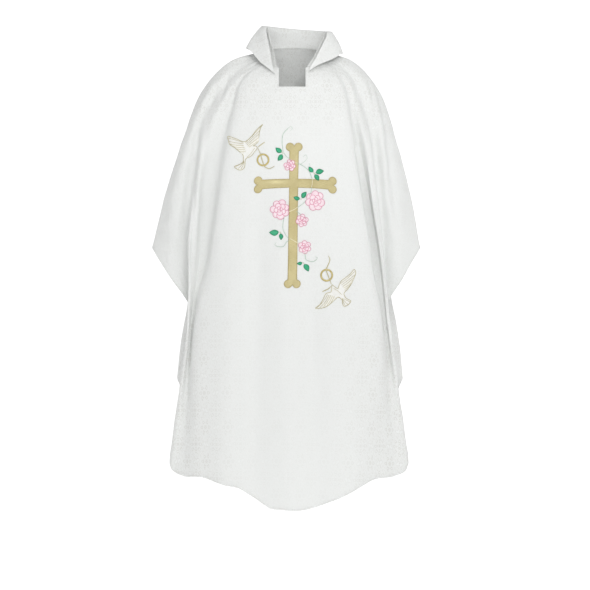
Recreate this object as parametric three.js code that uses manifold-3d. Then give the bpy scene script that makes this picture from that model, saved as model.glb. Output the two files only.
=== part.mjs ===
// A chasuble: a front and a back panel of white jacquard, seamed over the shoulders and arms and open
// below them, with a rolled collar over a square neck slot and an embroidered front. Millimetres, +Z up.
// The front faces -Y. The origin lies between the two shoulder points of the neck, where it is worn.

import * as THREE from "three";
import { mergeVertices } from "three/addons/utils/BufferGeometryUtils.js";
import Module from "manifold-3d";

const wasm = await Module();
wasm.setup();

// Driving dimensions of the hung garment.
const length = 1285; // shoulder point of the neck to the lowest point of the hem
const reach = 379; // centre line to the tip of the sleeve edge, mean of the two arms
const sleeveDrop = 555; // shoulder point down to the tip of the sleeve edge
const lean = 0.045; // the left arm is held this share further out than the mean, the right arm nearer
const frontDepth = 205; // centre plane to the front at the hem
const backDepth = 190; // centre plane to the back at the hem
const clothThickness = 2.5; // the hung cloth with its small creases
const seamGap = 0.4; // between the two panels along the shoulder seam

// Neck, slot and collar.
const neckHalfWidth = 78;
const neckFront = 88; // neck seam, forward of the centre plane
const neckBack = 70; // neck seam, behind the centre plane
const neckFrontDrop = 58; // neck seam at the centre front, below the shoulder points
const neckBackRise = 12; // neck seam at the centre back, above the shoulder points
const slotWidth = 75;
const slotDepth = 104; // foot of the neck slot, below the shoulder points
const collarStand = 66; // rim of the collar, above the shoulder points
const collarFlare = 19; // how far the rim leans out over the neck seam
const collarFall = 125; // lower edge of the collar, out from the centre at the sides
const collarLayer = 1.2;
const collarLift = 0.0212 * neckHalfWidth; // foot of the collar over the neck edge, whose facets grow with it

// Inner strips.
const stripThickness = 0.8;
const layerGap = 0.4; // between cloth and whatever is sewn to it
const hemFacingShare = 0.975; // the hem facing starts at this share of the way to the hem
const facingHalfWidth = 68;
const facingDepth = 136; // foot of the neck facing, below the shoulder points
const tapeShare = 0.25; // width of the shoulder stay tape, as a share of the way to the next rail

// Embroidery: places are measured from the crossing of the cross, to the right and up.
const motifCentre = 4; // the crossing, right of the centre line
const motifDrop = 375; // the crossing, below the shoulder points
const threadHeight = 0.9;
const motifGap = 0.4; // between neighbouring motifs
const barWidth = 23;
const lobeRadius = 11;
const crossTop = 101;
const crossFoot = 280;
const crossLeft = 99;
const crossRight = 108;
const stemWidth = 3;
const ribbonWidth = 3;
const ringRadius = 17.6;
const ringBand = 4.4;
const leafJoint = 2.2; // radius of the knot that joins the leaves of a spray
const petalDepth = 0.07; // scallop of a rose, as a share of its radius

const roses = {
  rose_top: [-10, 50, 16.5],
  rose_left: [-38, -73, 26.6],
  rose_right: [60, -48, 26.6],
  rose_middle: [24, -104, 17],
  rose_low: [31, -178, 18],
};

// A spray is a joint followed by the tip of each of its leaves.
const leafSprays = {
  leaves_top: [[-29, 84], [-49, 98], [-43, 64]],
  leaves_right: [[57, 28], [43, 45], [83, 34], [69, 8]],
  leaves_middle: [[21, -45], [1, -39], [35, -25]],
  leaves_left: [[-36, -136], [-66, -137], [-35, -157]],
  leaves_low: [[27, -221], [10, -224], [41, -244]],
};

const doves = {
  dove_upper: [[-101, 99], [-109, 87], [-118, 76], [-133, 68], [-137, 44], [-150, 37], [-165, 46], [-141, 57],
    [-141, 79], [-153, 90], [-164, 99], [-178, 109], [-183, 131], [-137, 116], [-86, 164], [-95, 144],
    [-97, 126], [-99, 115], [-108, 105]],
  dove_lower: [[107, -283], [123, -293], [131, -274], [147, -261], [169, -240], [172, -250], [168, -264],
    [162, -278], [151, -294], [140, -307], [146, -320], [159, -328], [155, -335], [147, -341], [140, -342],
    [135, -325], [124, -317], [118, -321], [104, -334], [90, -344], [75, -348], [61, -348], [73, -338],
    [81, -325], [91, -307], [103, -299]],
};

// A ring hangs on a ribbon that starts at a dove's beak.
const rings = {
  ring_upper: { centre: [-85, 65], ribbons: [[[-99, 97], [-92, 81], [-80, 42], [-64, 42], [-53, 48]]] },
  ring_lower: {
    centre: [92, -256],
    ribbons: [[[97, -202], [101, -213], [91, -238], [104, -274], [105, -281]]],
  },
};

const stems = {
  twig_upper: [[-99, 101], [-90, 108], [-80, 115]],
  ribbon_end_lower: [[104, -287], [98, -293], [80, -302]],
  stem_top: [[-15, 154], [-29, 137], [-32, 115], [-29, 88]],
  stem_upper_left: [[-27, 84], [-20, 75], [-8, 66]],
  stem_upper_right: [[8, 57], [18, 53], [41, 36], [52, 11]],
  stem_below_bar: [[50, -8], [50, -20], [44, -34]],
  stem_middle: [[36, -46], [27, -56], [10, -68]],
  stem_lower_left: [[-26, -96], [-29, -109], [-29, -129], [-17, -150], [-6, -156]],
  stem_rose_middle: [[8, -78], [16, -84], [24, -94]],
  stem_tendril: [[-6, -158], [-18, -162], [-29, -176], [-46, -176]],
  stem_low: [[31, -192], [32, -200], [35, -213], [55, -218], [63, -213]],
};

// The hung panel is a surface over rails that run from the neck seam to the hem, from the centre front
// out to the seam on top of the arm. "turn" is the rail's place round the neck, from the centre, in
// degrees, and each point is a share of the reach, the depth and the drop. The fold line is the edge of
// the fold that hangs beside the body, the inner edge runs behind that fold, and the sleeve rail lies on
// the front of the arm.
const centreRail = {
  turn: 0,
  drop: length,
  points: [[0, 0.546, 0.09], [0, 0.732, 0.202], [0, 0.829, 0.405], [0, 0.917, 0.685], [0, 1, 1]],
};
const sideRails = [
  { turn: 38, drop: length, points: [[0.25, 0.46, 0.074], [0.33, 0.67, 0.195], [0.383, 0.77, 0.405],
    [0.409, 0.868, 0.677], [0.454, 0.937, 0.962]] },
  { turn: 57, drop: length, points: [[0.343, 0.39, 0.066], [0.435, 0.576, 0.167], [0.567, 0.66, 0.405],
    [0.681, 0.69, 0.661], [0.733, 0.7, 0.938]] },
  { turn: 65, drop: length, points: [[0.377, 0.335, 0.064], [0.48, 0.45, 0.163], [0.633, 0.46, 0.397],
    [0.747, 0.47, 0.646], [0.807, 0.527, 0.929]] },
  { turn: 72, drop: length, points: [[0.404, 0.295, 0.061], [0.536, 0.43, 0.16], [0.707, 0.537, 0.389],
    [0.784, 0.507, 0.623], [0.892, 0.41, 0.912]] },
  { turn: 79, drop: sleeveDrop, points: [[0.435, 0.22, 0.125], [0.594, 0.3, 0.324], [0.728, 0.32, 0.703],
    [0.739, 0.29, 1.063], [0.681, 0.205, 1.387]] },
  { turn: 85, drop: sleeveDrop, points: [[0.454, 0.137, 0.088], [0.645, 0.22, 0.252], [0.792, 0.263, 0.559],
    [0.871, 0.273, 0.847], [0.86, 0.244, 1.153]] },
  { turn: 90, drop: sleeveDrop, points: [[0.454, 0, 0.05], [0.66, 0, 0.202], [0.797, 0, 0.459],
    [0.91, 0, 0.721], [1, 0, 1]] },
];
const lastRail = 2 * sideRails.length;
const stepsBetweenRails = [5, 3, 2, 2, 2, 2, 2]; // from the centre out
const stepsBetweenPoints = [3, 4, 6, 7, 6]; // from the neck down

function railCurve(rail, side, facing) {
  const front = facing < 0;
  const turn = THREE.MathUtils.degToRad(rail.turn);
  const across = neckHalfWidth * Math.sin(turn);
  const out = (front ? neckFront : neckBack) * Math.cos(turn);
  const up = (front ? -neckFrontDrop : neckBackRise) * Math.cos(turn);
  const points = [new THREE.Vector3(side * across, facing * out, up)];
  const depth = front ? frontDepth : backDepth;
  rail.points.forEach(([x, y, z], row) => {
    const shift = 1 - (side * lean * (row + 1)) / rail.points.length;
    points.push(new THREE.Vector3(side * reach * x * shift, facing * depth * y, -rail.drop * z));
  });
  return new THREE.CatmullRomCurve3(points, false, "centripetal");
}

// A panel's surface, as a function of the rail number across and of the share down from neck to hem.
function panelSurface(facing) {
  const curves = [centreRail, ...sideRails].map((rail) => railCurve(rail, 1, facing));
  sideRails.forEach((rail) => curves.unshift(railCurve(rail, -1, facing)));
  return (across, down) => {
    const points = curves.map((curve) => curve.getPoint(down));
    return new THREE.CatmullRomCurve3(points, false, "centripetal").getPoint(across / lastRail);
  };
}

function spread(steps, start) {
  const places = [start];
  steps.forEach((count, span) => {
    for (let i = 1; i <= count; i += 1) places.push(start + span + i / count);
  });
  return places;
}

// The edges of the inner strips lie on a column and on a row of the panels, so their facets agree.
const outward = spread(stepsBetweenRails, 0);
outward.splice(-1, 0, sideRails.length - tapeShare);
const middleRail = sideRails.length;
const columns = [
  ...outward.slice(1).reverse().map((place) => middleRail - place),
  ...outward.map((place) => middleRail + place),
];
const backColumns = columns.filter((_, i) => i % 2 === 0); // the back hangs plainer
const rows = spread(stepsBetweenPoints, 0).map((place) => place / stepsBetweenPoints.length);
rows.splice(-1, 0, hemFacingShare);

function unitNormal(surface, across, down, turn) {
  const step = 1e-3;
  const left = surface(Math.max(across - step, 0), down);
  const right = surface(Math.min(across + step, lastRail), down);
  const above = surface(across, Math.max(down - step, 0));
  const below = surface(across, Math.min(down + step, 1));
  return right.sub(left).cross(below.sub(above)).normalize().multiplyScalar(turn);
}

// A closed layer between two offsets from a grid of surface points and their normals.
function closedLayer(points, normals, inner, outer, limit) {
  const wide = points.length;
  const tall = points[0].length;
  const positions = [];
  for (const offset of [outer, inner]) {
    for (let i = 0; i < wide; i += 1) {
      for (let j = 0; j < tall; j += 1) {
        const place = points[i][j].clone().addScaledVector(normals[i][j], offset);
        positions.push(...limit(place, i, j).toArray());
      }
    }
  }
  const index = [];
  const at = (layer, i, j) => (layer * wide + i) * tall + j;
  const quad = (a, b, c, d) => index.push(a, b, c, a, c, d);
  for (let i = 0; i < wide - 1; i += 1) {
    for (let j = 0; j < tall - 1; j += 1) {
      quad(at(0, i, j), at(0, i, j + 1), at(0, i + 1, j + 1), at(0, i + 1, j));
      quad(at(1, i, j), at(1, i + 1, j), at(1, i + 1, j + 1), at(1, i, j + 1));
    }
    quad(at(0, i, 0), at(0, i + 1, 0), at(1, i + 1, 0), at(1, i, 0));
    quad(at(0, i, tall - 1), at(1, i, tall - 1), at(1, i + 1, tall - 1), at(0, i + 1, tall - 1));
  }
  for (let j = 0; j < tall - 1; j += 1) {
    quad(at(0, 0, j), at(1, 0, j), at(1, 0, j + 1), at(0, 0, j + 1));
    quad(at(0, wide - 1, j), at(0, wide - 1, j + 1), at(1, wide - 1, j + 1), at(1, wide - 1, j));
  }
  const geometry = new THREE.BufferGeometry();
  geometry.setAttribute("position", new THREE.Float32BufferAttribute(positions, 3));
  geometry.setIndex(index);
  return facingOut(geometry);
}

function signedVolume(geometry) {
  const place = geometry.attributes.position;
  const corner = [new THREE.Vector3(), new THREE.Vector3(), new THREE.Vector3()];
  let volume = 0;
  for (let i = 0; i < geometry.index.count; i += 3) {
    corner.forEach((point, k) => point.fromBufferAttribute(place, geometry.index.getX(i + k)));
    volume += corner[0].dot(corner[1].cross(corner[2])) / 6;
  }
  return volume;
}

function facingOut(geometry) {
  if (signedVolume(geometry) < 0) geometry.index.array.reverse();
  return geometry;
}

// A layer of one panel. Its edge along the shoulder seam stays clear of the other panel.
function panelLayer(surface, facing, across, down, inner, outer) {
  const points = across.map((c) => down.map((r) => surface(c, r)));
  const normals = across.map((c) => down.map((r) => unitNormal(surface, c, r, facing)));
  return closedLayer(points, normals, inner, outer, (place) => {
    const clear = Math.max(facing * place.y, seamGap / 2);
    return place.setY(facing * clear);
  });
}

function toSolid(geometry) {
  const bare = geometry.clone();
  bare.deleteAttribute("normal");
  bare.deleteAttribute("uv");
  const merged = mergeVertices(bare, 1e-4);
  return new wasm.Manifold(new wasm.Mesh({
    numProp: 3,
    vertProperties: new Float32Array(merged.attributes.position.array),
    triVerts: new Uint32Array(merged.index.array),
  }));
}

function toGeometry(solid) {
  const mesh = solid.getMesh();
  const geometry = new THREE.BufferGeometry();
  geometry.setAttribute("position", new THREE.Float32BufferAttribute(mesh.vertProperties, 3));
  geometry.setIndex([...mesh.triVerts]);
  return geometry;
}

const group = new THREE.Group();

function addPiece(name, geometry, material) {
  const mesh = new THREE.Mesh(geometry, new THREE.MeshStandardMaterial(material));
  mesh.name = name;
  group.add(mesh);
}

const whiteCloth = { color: 0xf0f1f0, roughness: 0.75, metalness: 0 };
const plainCloth = { color: 0xe9eae8, roughness: 0.85, metalness: 0 };
const goldThread = { color: 0xc8ba89, roughness: 0.4, metalness: 0.3 };
const beigeThread = { color: 0xc9c6a6, roughness: 0.5, metalness: 0.1 };
const pinkThread = { color: 0xf6cfdc, roughness: 0.5, metalness: 0 };
const greenThread = { color: 0x2a9a6c, roughness: 0.5, metalness: 0 };
const paleThread = { color: 0xdfe6da, roughness: 0.5, metalness: 0 };

// The two panels, with the slot cut out of the front.
const frontSurface = panelSurface(-1);
const backSurface = panelSurface(1);
const halfCloth = clothThickness / 2;
const slotHigh = slotDepth + neckBackRise;
const slotLong = 2 * neckFront;
const slotBlock = new THREE.BoxGeometry(slotWidth, slotLong, slotHigh);
slotBlock.translate(0, -slotLong / 2 - neckFront / 3, slotHigh / 2 - slotDepth);
const slot = toSolid(slotBlock);

const frontPanel = panelLayer(frontSurface, -1, columns, rows, -halfCloth, halfCloth);
addPiece("front_panel", toGeometry(toSolid(frontPanel).subtract(slot)), whiteCloth);
addPiece("back_panel", panelLayer(backSurface, 1, backColumns, rows, -halfCloth, halfCloth), whiteCloth);

// Strips sewn to the inside: hem facings, neck facing and the stay tapes along the shoulder seam.
const stripOuter = -halfCloth - layerGap;
const stripInner = stripOuter - stripThickness;
const hemRows = [hemFacingShare, 1];
const insideSeams = (places) => places.slice(1, -1);
const frontHem = panelLayer(frontSurface, -1, insideSeams(columns), hemRows, stripInner, stripOuter);
const backHem = panelLayer(backSurface, 1, insideSeams(backColumns), hemRows, stripInner, stripOuter);
addPiece("hem_facing_front", frontHem, plainCloth);
addPiece("hem_facing_back", backHem, plainCloth);

const throatColumns = columns.filter((place) => Math.abs(place - middleRail) < 3.2);
const throatRows = rows.filter((place) => place < 0.4);
const throat = toSolid(panelLayer(frontSurface, -1, throatColumns, throatRows, stripInner, stripOuter));
const facingBlock = new THREE.BoxGeometry(2 * facingHalfWidth, slotLong, facingDepth);
facingBlock.translate(0, -slotLong / 2 - neckFront / 3, -facingDepth / 2 + neckBackRise / 2);
addPiece("neck_facing", toGeometry(throat.intersect(toSolid(facingBlock)).subtract(slot)), plainCloth);

const tapeRows = rows.filter((place) => place > 0.15 && place < 0.95);
for (const [name, seam, step] of [["shoulder_tape_left", 0, 1], ["shoulder_tape_right", lastRail, -1]]) {
  const tapeColumns = [seam, seam + step * tapeShare].sort((a, b) => a - b);
  const tape = panelLayer(frontSurface, -1, tapeColumns, tapeRows, stripInner, stripOuter);
  addPiece(name, tape, plainCloth);
}

// The collar stands on the neck seam, rolls over at its rim and falls outside. Its front ends part above
// the slot. "round" runs from the left front end (-1) past the centre back (0) to the right one (1).
const collarEnd = 150; // where the seam ends, in degrees from the centre back
const rimEnd = 121; // where the rim ends, in degrees from the centre back
const rollRadius = 9;
const fallRise = 5; // lower edge of the fall, above the shoulder points
const fallTurns = 0.76; // from this share of the way round, the lower edge runs down to the front end
const collarColumns = 26;

function ringPoint(degrees, wide, forward, backward, height) {
  const turn = THREE.MathUtils.degToRad(degrees);
  const out = Math.cos(turn);
  return new THREE.Vector3(wide * Math.sin(turn), out * (out > 0 ? backward : forward), height);
}

// The place where the collar meets the panels, just above their cloth, and the panels' normal there.
function neckSeam(degrees) {
  const facing = Math.abs(degrees) > 90 ? -1 : 1;
  const surface = facing < 0 ? frontSurface : backSurface;
  const fromFront = Math.sign(degrees) * (180 - Math.abs(degrees));
  const target = THREE.MathUtils.degToRad(facing < 0 ? fromFront : degrees);
  let low = 0;
  let high = lastRail;
  while (high - low > 1e-4) {
    const middle = (low + high) / 2;
    const place = surface(middle, 0);
    if (Math.atan2(place.x, facing * place.y) < target) low = middle;
    else high = middle;
  }
  const normal = unitNormal(surface, low, 0, facing);
  return { place: surface(low, 0).addScaledVector(normal, halfCloth + collarLift), normal };
}

function collarProfile(round) {
  const end = Math.abs(round);
  const seam = neckSeam(collarEnd * round).place;
  const rimWide = neckHalfWidth + collarFlare;
  const rimHeight = collarStand - 8 * end ** 3;
  const rim = ringPoint(rimEnd * round, rimWide, neckFront, neckBack + collarFlare, rimHeight);
  const falling = Math.max(0, (end - fallTurns) / (1 - fallTurns));
  const fallHeight = fallRise - (neckFrontDrop + fallRise) * falling ** 1.3;
  const fallWide = collarFall - (collarFall - neckHalfWidth - 22) * end ** 6;
  const fallTurn = (rimEnd + (collarEnd - rimEnd) * end ** 3) * round;
  const fall = ringPoint(fallTurn, fallWide, neckFront + 22, neckBack + 48, fallHeight);
  const away = fall.clone().sub(seam).setZ(0).normalize();
  const inside = rim.clone().addScaledVector(away, -rollRadius).setZ(rimHeight - rollRadius);
  const outside = rim.clone().addScaledVector(away, rollRadius).setZ(rimHeight - rollRadius);
  const stand = seam.clone().lerp(inside, 0.5);
  const slope = outside.clone().lerp(fall, 0.5).addScaledVector(away, 4);
  return new THREE.CatmullRomCurve3([seam, stand, inside, rim, outside, slope, fall], false, "centripetal");
}

function collarSurface(round, along) {
  return collarProfile(round).getPoint(along);
}

const rounds = Array.from({ length: collarColumns + 1 }, (_, i) => (2 * i) / collarColumns - 1);
const alongs = [0, 1, 2, 2.5, 3, 3.5, 4, 5, 6].map((place) => place / 6);
const collarStep = 1e-3;
const collarPoints = rounds.map((round) => alongs.map((along) => collarSurface(round, along)));
const collarNormals = rounds.map((round) => alongs.map((along) => {
  const before = collarSurface(Math.max(round - collarStep, -1), along);
  const after = collarSurface(Math.min(round + collarStep, 1), along);
  const below = collarSurface(round, Math.max(along - collarStep, 0));
  const above = collarSurface(round, Math.min(along + collarStep, 1));
  return after.sub(before).cross(above.sub(below)).normalize();
}));
const seams = rounds.map((round) => neckSeam(collarEnd * round));

// The foot of each collar layer lies flat over the panel's cloth.
function onSeam(place, i, j) {
  const above = place.clone().sub(seams[i].place).dot(seams[i].normal);
  return j === 0 ? place.addScaledVector(seams[i].normal, -above) : place;
}

const layerStep = collarLayer + layerGap;
["under_collar", "collar_interlining", "top_collar"].forEach((name, layer) => {
  const inner = (layer - 1) * layerStep - collarLayer / 2;
  const outer = inner + collarLayer;
  const geometry = closedLayer(collarPoints, collarNormals, inner, outer, onSeam);
  addPiece(name, geometry, name === "collar_interlining" ? plainCloth : whiteCloth);
});

// Every motif is cut from one layer of thread that lies on the front of the front panel.
const threadInner = halfCloth + layerGap;
const threadColumns = columns.filter((place) => Math.abs(place - middleRail) < 3.2);
const threadRows = rows.filter((place) => place > 0.25 && place < 0.85);
const threadSheet = panelLayer(
  frontSurface, -1, threadColumns, threadRows, threadInner, threadInner + threadHeight);
const threadLayer = toSolid(threadSheet);

function prism(shape) {
  const block = new THREE.ExtrudeGeometry(shape, { depth: 1, bevelEnabled: false, curveSegments: 6 });
  block.scale(1, 1, 1.5 * frontDepth);
  block.rotateX(Math.PI / 2);
  block.translate(motifCentre, 0, -motifDrop);
  return toSolid(block);
}

function disc(x, z, radius) {
  const shape = new THREE.Shape();
  shape.absarc(x, z, radius, 0, 2 * Math.PI);
  return shape;
}

function bar(left, right, foot, top) {
  return new THREE.Shape([[left, foot], [right, foot], [right, top], [left, top]]
    .map(([x, z]) => new THREE.Vector2(x, z)));
}

function roseShape([x, z, radius], grow) {
  const points = [];
  for (let i = 0; i < 30; i += 1) {
    const turn = (i / 30) * 2 * Math.PI;
    const r = (radius + grow) * (1 - petalDepth + petalDepth * Math.cos(5 * turn));
    points.push(new THREE.Vector2(x + r * Math.cos(turn), z + r * Math.sin(turn)));
  }
  return new THREE.Shape(points);
}

function leafShape(joint, tip, grow) {
  const axis = new THREE.Vector2(...tip).sub(new THREE.Vector2(...joint));
  const side = new THREE.Vector2(-axis.y, axis.x).normalize();
  const half = 0.24 * axis.length() + grow;
  const place = (share, width) => new THREE.Vector2(...joint)
    .addScaledVector(axis, share).addScaledVector(side, width);
  const long = grow / axis.length();
  const points = [place(-long, 0), place(0.2, half * 0.8), place(0.45, half), place(0.75, half * 0.7)];
  points.push(place(1 + long, 0), place(0.75, -half * 0.7), place(0.45, -half), place(0.2, -half * 0.8));
  return new THREE.Shape(points);
}

// A strip of even width along a curve.
function stripShape(points, width) {
  const curve = new THREE.SplineCurve(points.map(([x, z]) => new THREE.Vector2(x, z)));
  const left = [];
  const right = [];
  const count = 5 * (points.length - 1);
  for (let i = 0; i <= count; i += 1) {
    const place = curve.getPoint(i / count);
    const along = curve.getTangent(i / count);
    const side = new THREE.Vector2(-along.y, along.x).multiplyScalar(width / 2);
    left.push(place.clone().add(side));
    right.unshift(place.clone().sub(side));
  }
  return new THREE.Shape([...left, ...right]);
}

function outlineShape(points) {
  const curve = new THREE.SplineCurve(points.map(([x, z]) => new THREE.Vector2(x, z)));
  return new THREE.Shape([...curve.getPoints(2 * points.length), new THREE.Vector2(...points[0])]);
}

function join(solids) {
  return solids.reduce((whole, next) => whole.add(next));
}

function crossBlock() {
  const half = barWidth / 2;
  const blocks = [
    prism(bar(-half, half, -crossFoot, crossTop)),
    prism(bar(-crossLeft, crossRight, -half, half)),
  ];
  for (const side of [-half, half]) {
    for (const end of [crossTop, -crossFoot]) blocks.push(prism(disc(side, end, lobeRadius)));
    for (const end of [-crossLeft, crossRight]) blocks.push(prism(disc(end, side, lobeRadius)));
  }
  return join(blocks);
}

function ringBlock({ centre, ribbons }) {
  const [x, z] = centre;
  const band = prism(disc(x, z, ringRadius)).subtract(prism(disc(x, z, ringRadius - ringBand)));
  return join([band, ...ribbons.map((points) => prism(stripShape(points, ribbonWidth)))]);
}

// The largest piece of a motif that others cover in part.
function largestBody(solid) {
  const bodies = solid.decompose();
  return bodies.reduce((best, next) => (next.volume() > best.volume() ? next : best));
}

// Motifs lie over each other in this order, and a lower one is cut clear of those above it.
let covered = null;

function addMotif(name, block, cover, material) {
  const clear = covered ? block.subtract(covered) : block;
  addPiece(name, toGeometry(largestBody(threadLayer.intersect(clear))), material);
  covered = covered ? covered.add(cover) : cover;
}

for (const [name, rose] of Object.entries(roses)) {
  addMotif(name, prism(roseShape(rose, 0)), prism(roseShape(rose, motifGap)), pinkThread);
}
for (const [name, [joint, ...tips]] of Object.entries(leafSprays)) {
  const leaves = (grow) => join([
    prism(disc(...joint, leafJoint + grow)),
    ...tips.map((tip) => prism(leafShape(joint, tip, grow))),
  ]);
  addMotif(name, leaves(0), leaves(motifGap), greenThread);
}

// A block grown on every side by the gap between motifs.
function grown(block) {
  const shifts = [[1, 0], [-1, 0], [0, 1], [0, -1], [0.7, 0.7], [-0.7, 0.7], [0.7, -0.7], [-0.7, -0.7]];
  return join(shifts.map(([x, z]) => block.translate([x * motifGap, 0, z * motifGap])));
}

for (const [name, outline] of Object.entries(doves)) {
  const block = prism(outlineShape(outline));
  addMotif(name, block, grown(block), beigeThread);
}
for (const [name, ring] of Object.entries(rings)) {
  const block = ringBlock(ring);
  addMotif(name, block, grown(block), beigeThread);
}
const cross = crossBlock();
addMotif("cross", cross, grown(cross), goldThread);
for (const [name, points] of Object.entries(stems)) {
  const block = prism(stripShape(points, stemWidth));
  addMotif(name, block, grown(block), name.startsWith("stem") ? paleThread : beigeThread);
}

export default group;
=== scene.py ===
import math

import bmesh
import bpy
import numpy as np
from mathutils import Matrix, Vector, geometry
from mathutils.bvhtree import BVHTree


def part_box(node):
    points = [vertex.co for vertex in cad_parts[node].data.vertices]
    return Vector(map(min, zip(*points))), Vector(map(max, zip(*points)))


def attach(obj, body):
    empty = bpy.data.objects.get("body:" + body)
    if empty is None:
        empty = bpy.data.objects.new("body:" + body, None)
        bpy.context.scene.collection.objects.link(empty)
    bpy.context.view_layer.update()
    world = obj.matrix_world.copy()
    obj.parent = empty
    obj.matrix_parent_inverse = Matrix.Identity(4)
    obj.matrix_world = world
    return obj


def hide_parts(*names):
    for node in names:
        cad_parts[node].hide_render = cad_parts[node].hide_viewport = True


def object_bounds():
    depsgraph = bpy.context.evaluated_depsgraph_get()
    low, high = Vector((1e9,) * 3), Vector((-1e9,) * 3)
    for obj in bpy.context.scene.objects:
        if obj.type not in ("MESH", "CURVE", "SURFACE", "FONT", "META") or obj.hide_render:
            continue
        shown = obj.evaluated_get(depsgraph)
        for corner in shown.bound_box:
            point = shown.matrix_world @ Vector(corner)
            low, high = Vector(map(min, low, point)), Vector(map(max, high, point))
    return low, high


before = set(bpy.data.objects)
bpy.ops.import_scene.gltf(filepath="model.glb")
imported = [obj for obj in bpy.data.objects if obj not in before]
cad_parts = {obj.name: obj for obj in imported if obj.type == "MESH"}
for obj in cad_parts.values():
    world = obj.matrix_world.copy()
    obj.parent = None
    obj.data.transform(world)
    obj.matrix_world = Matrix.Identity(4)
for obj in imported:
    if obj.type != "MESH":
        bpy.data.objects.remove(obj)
cad_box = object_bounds()

# ---------------------------------------------------------------------------------------------
# Front and back panels. Each is one length of white figured damask, cut to a wide half-ellipse
# below a shallow shoulder. They are seamed over the shoulders and arms, hang open below the
# wrists, and the front has a square slot cut down from the neck.
# ---------------------------------------------------------------------------------------------
front_low, front_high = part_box("front_panel")
_, back_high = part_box("back_panel")
panel_length = -front_low[2]
arm_reach = (front_high[0] - front_low[0]) / 2
arm_lean = 0.045  # the left arm is held this share further out, the right one nearer
front_depth = -front_low[1]
back_depth = back_high[1]
sleeve_drop = 0.432 * panel_length
neck_half_width = 0.078
neck_front, neck_back = 0.088, 0.070
neck_front_drop, neck_back_rise = 0.058, 0.012
slot_half_width, slot_foot = 0.0375, -0.104
cloth_thickness = 0.0009
skin_gap = 0.0006  # the two panels never come closer to their meeting plane than this
middle_rail, last_rail = 7, 14
damask_repeat = (0.070, 0.095)
warp_pitch = 0.0008

# Each rail runs from the neck seam to the hem: its place round the neck in degrees from the
# centre, the length it drops, and five points as shares of reach, depth and drop.
rail_table = [
    (0, panel_length, [(0, .546, .09), (0, .732, .202), (0, .829, .405), (0, .917, .685), (0, 1, 1)]),
    (38, panel_length, [(.25, .46, .074), (.33, .67, .195), (.383, .77, .405), (.409, .868, .677),
                        (.325, .955, .978)]),
    (57, panel_length, [(.343, .39, .066), (.435, .576, .167), (.567, .66, .405), (.681, .69, .661),
                        (.625, .76, .936)]),
    (65, panel_length, [(.377, .335, .064), (.48, .45, .163), (.633, .46, .397), (.747, .47, .646),
                        (.807, .527, .929)]),
    (72, panel_length, [(.404, .295, .061), (.536, .43, .16), (.707, .537, .389), (.784, .507, .623),
                        (.892, .41, .912)]),
    (79, sleeve_drop, [(.435, .22, .125), (.594, .3, .324), (.728, .32, .703), (.739, .29, 1.063),
                       (.681, .205, 1.387)]),
    (85, sleeve_drop, [(.454, .137, .088), (.645, .22, .252), (.792, .263, .559), (.871, .273, .847),
                       (.86, .244, 1.153)]),
    (90, sleeve_drop, [(.454, 0, .05), (.66, 0, .202), (.797, 0, .459), (.91, 0, .721), (1, 0, 1)]),
]


def rail_points(facing):
    """Control points of a panel's rails, from the left arm to the right, row by row."""
    front = facing < 0
    depth = front_depth if front else back_depth
    across, out = neck_half_width, neck_front if front else neck_back
    up = -neck_front_drop if front else neck_back_rise
    points = np.zeros((6, last_rail + 1, 3))
    for number in range(last_rail + 1):
        side = 1 if number > middle_rail else -1
        turn, drop, row_shares = rail_table[abs(number - middle_rail)]
        turn = math.radians(turn)
        points[0, number] = (side * across * math.sin(turn), facing * out * math.cos(turn),
                             up * math.cos(turn))
        for row, (x, y, z) in enumerate(row_shares):
            shift = 1 - side * arm_lean * (row + 1) / 5
            points[row + 1, number] = (side * arm_reach * x * shift, facing * depth * y, -drop * z)
    if front:
        # On the right the side folds hang closer in; on the left they start further out, and the
        # hem dips less.
        points[2:5, 10, 0] -= (0.003, 0.010, 0.005)
        points[2:5, 11, 0] -= (0.008, 0.020, 0.012)
        points[2:5, 12, 0] -= (0.010, 0.023, 0.015)
        points[2:5, 13, 0] -= (0.012, 0.028, 0.030)
        points[2:4, 2, 0] -= (0.018, 0.005)
        points[2:4, 3, 0] -= (0.014, 0.004)
        points[4:6, 3, 0] += (0.015, 0.015)
        points[4:6, 4, 0] += (0.006, 0.010)
        points[5, 5:7, 2] += (0.006, 0.016)
    else:
        # Low down the back hangs closer in on the left, as the front does.
        points[4, [3, 4, 10, 11], 0] += (0.020, 0.010, -0.004, -0.008)
        points[5, [3, 4, 11], 0] += (0.020, 0.010, -0.006)
    return points


def spline(points, places, before=None, after=None):
    """Centripetal curve through rows of points, at places from 0 to 1."""
    first = 2 * points[0] - points[1] if before is None else before
    last = 2 * points[-1] - points[-2] if after is None else after
    padded = np.concatenate([first[None], points, last[None]])
    spans = len(points) - 1
    along = np.clip(np.asarray(places, float), 0, 1) * spans
    span = np.minimum(along.astype(int), spans - 1)
    w = (along - span).reshape(-1, *[1] * (points.ndim - 1))
    p = [padded[span + k] for k in range(4)]
    d = [np.sqrt(np.linalg.norm(p[k + 1] - p[k], axis=-1, keepdims=True)) + 1e-9 for k in range(3)]
    enter = ((p[1] - p[0]) / d[0] - (p[2] - p[0]) / (d[0] + d[1]) + (p[2] - p[1]) / d[1]) * d[1]
    leave = ((p[2] - p[1]) / d[1] - (p[3] - p[1]) / (d[1] + d[2]) + (p[3] - p[2]) / d[2]) * d[1]
    return ((2 * w**3 - 3 * w**2 + 1) * p[1] + (w**3 - 2 * w**2 + w) * enter
            + (3 * w**2 - 2 * w**3) * p[2] + (w**3 - w**2) * leave)


def smooth(low, high, value):
    """0 up to low and 1 from high on, smooth between them. Low may be the greater."""
    share = np.clip((value - low) / (high - low), 0, 1)
    return share * share * (3 - 2 * share)


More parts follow.
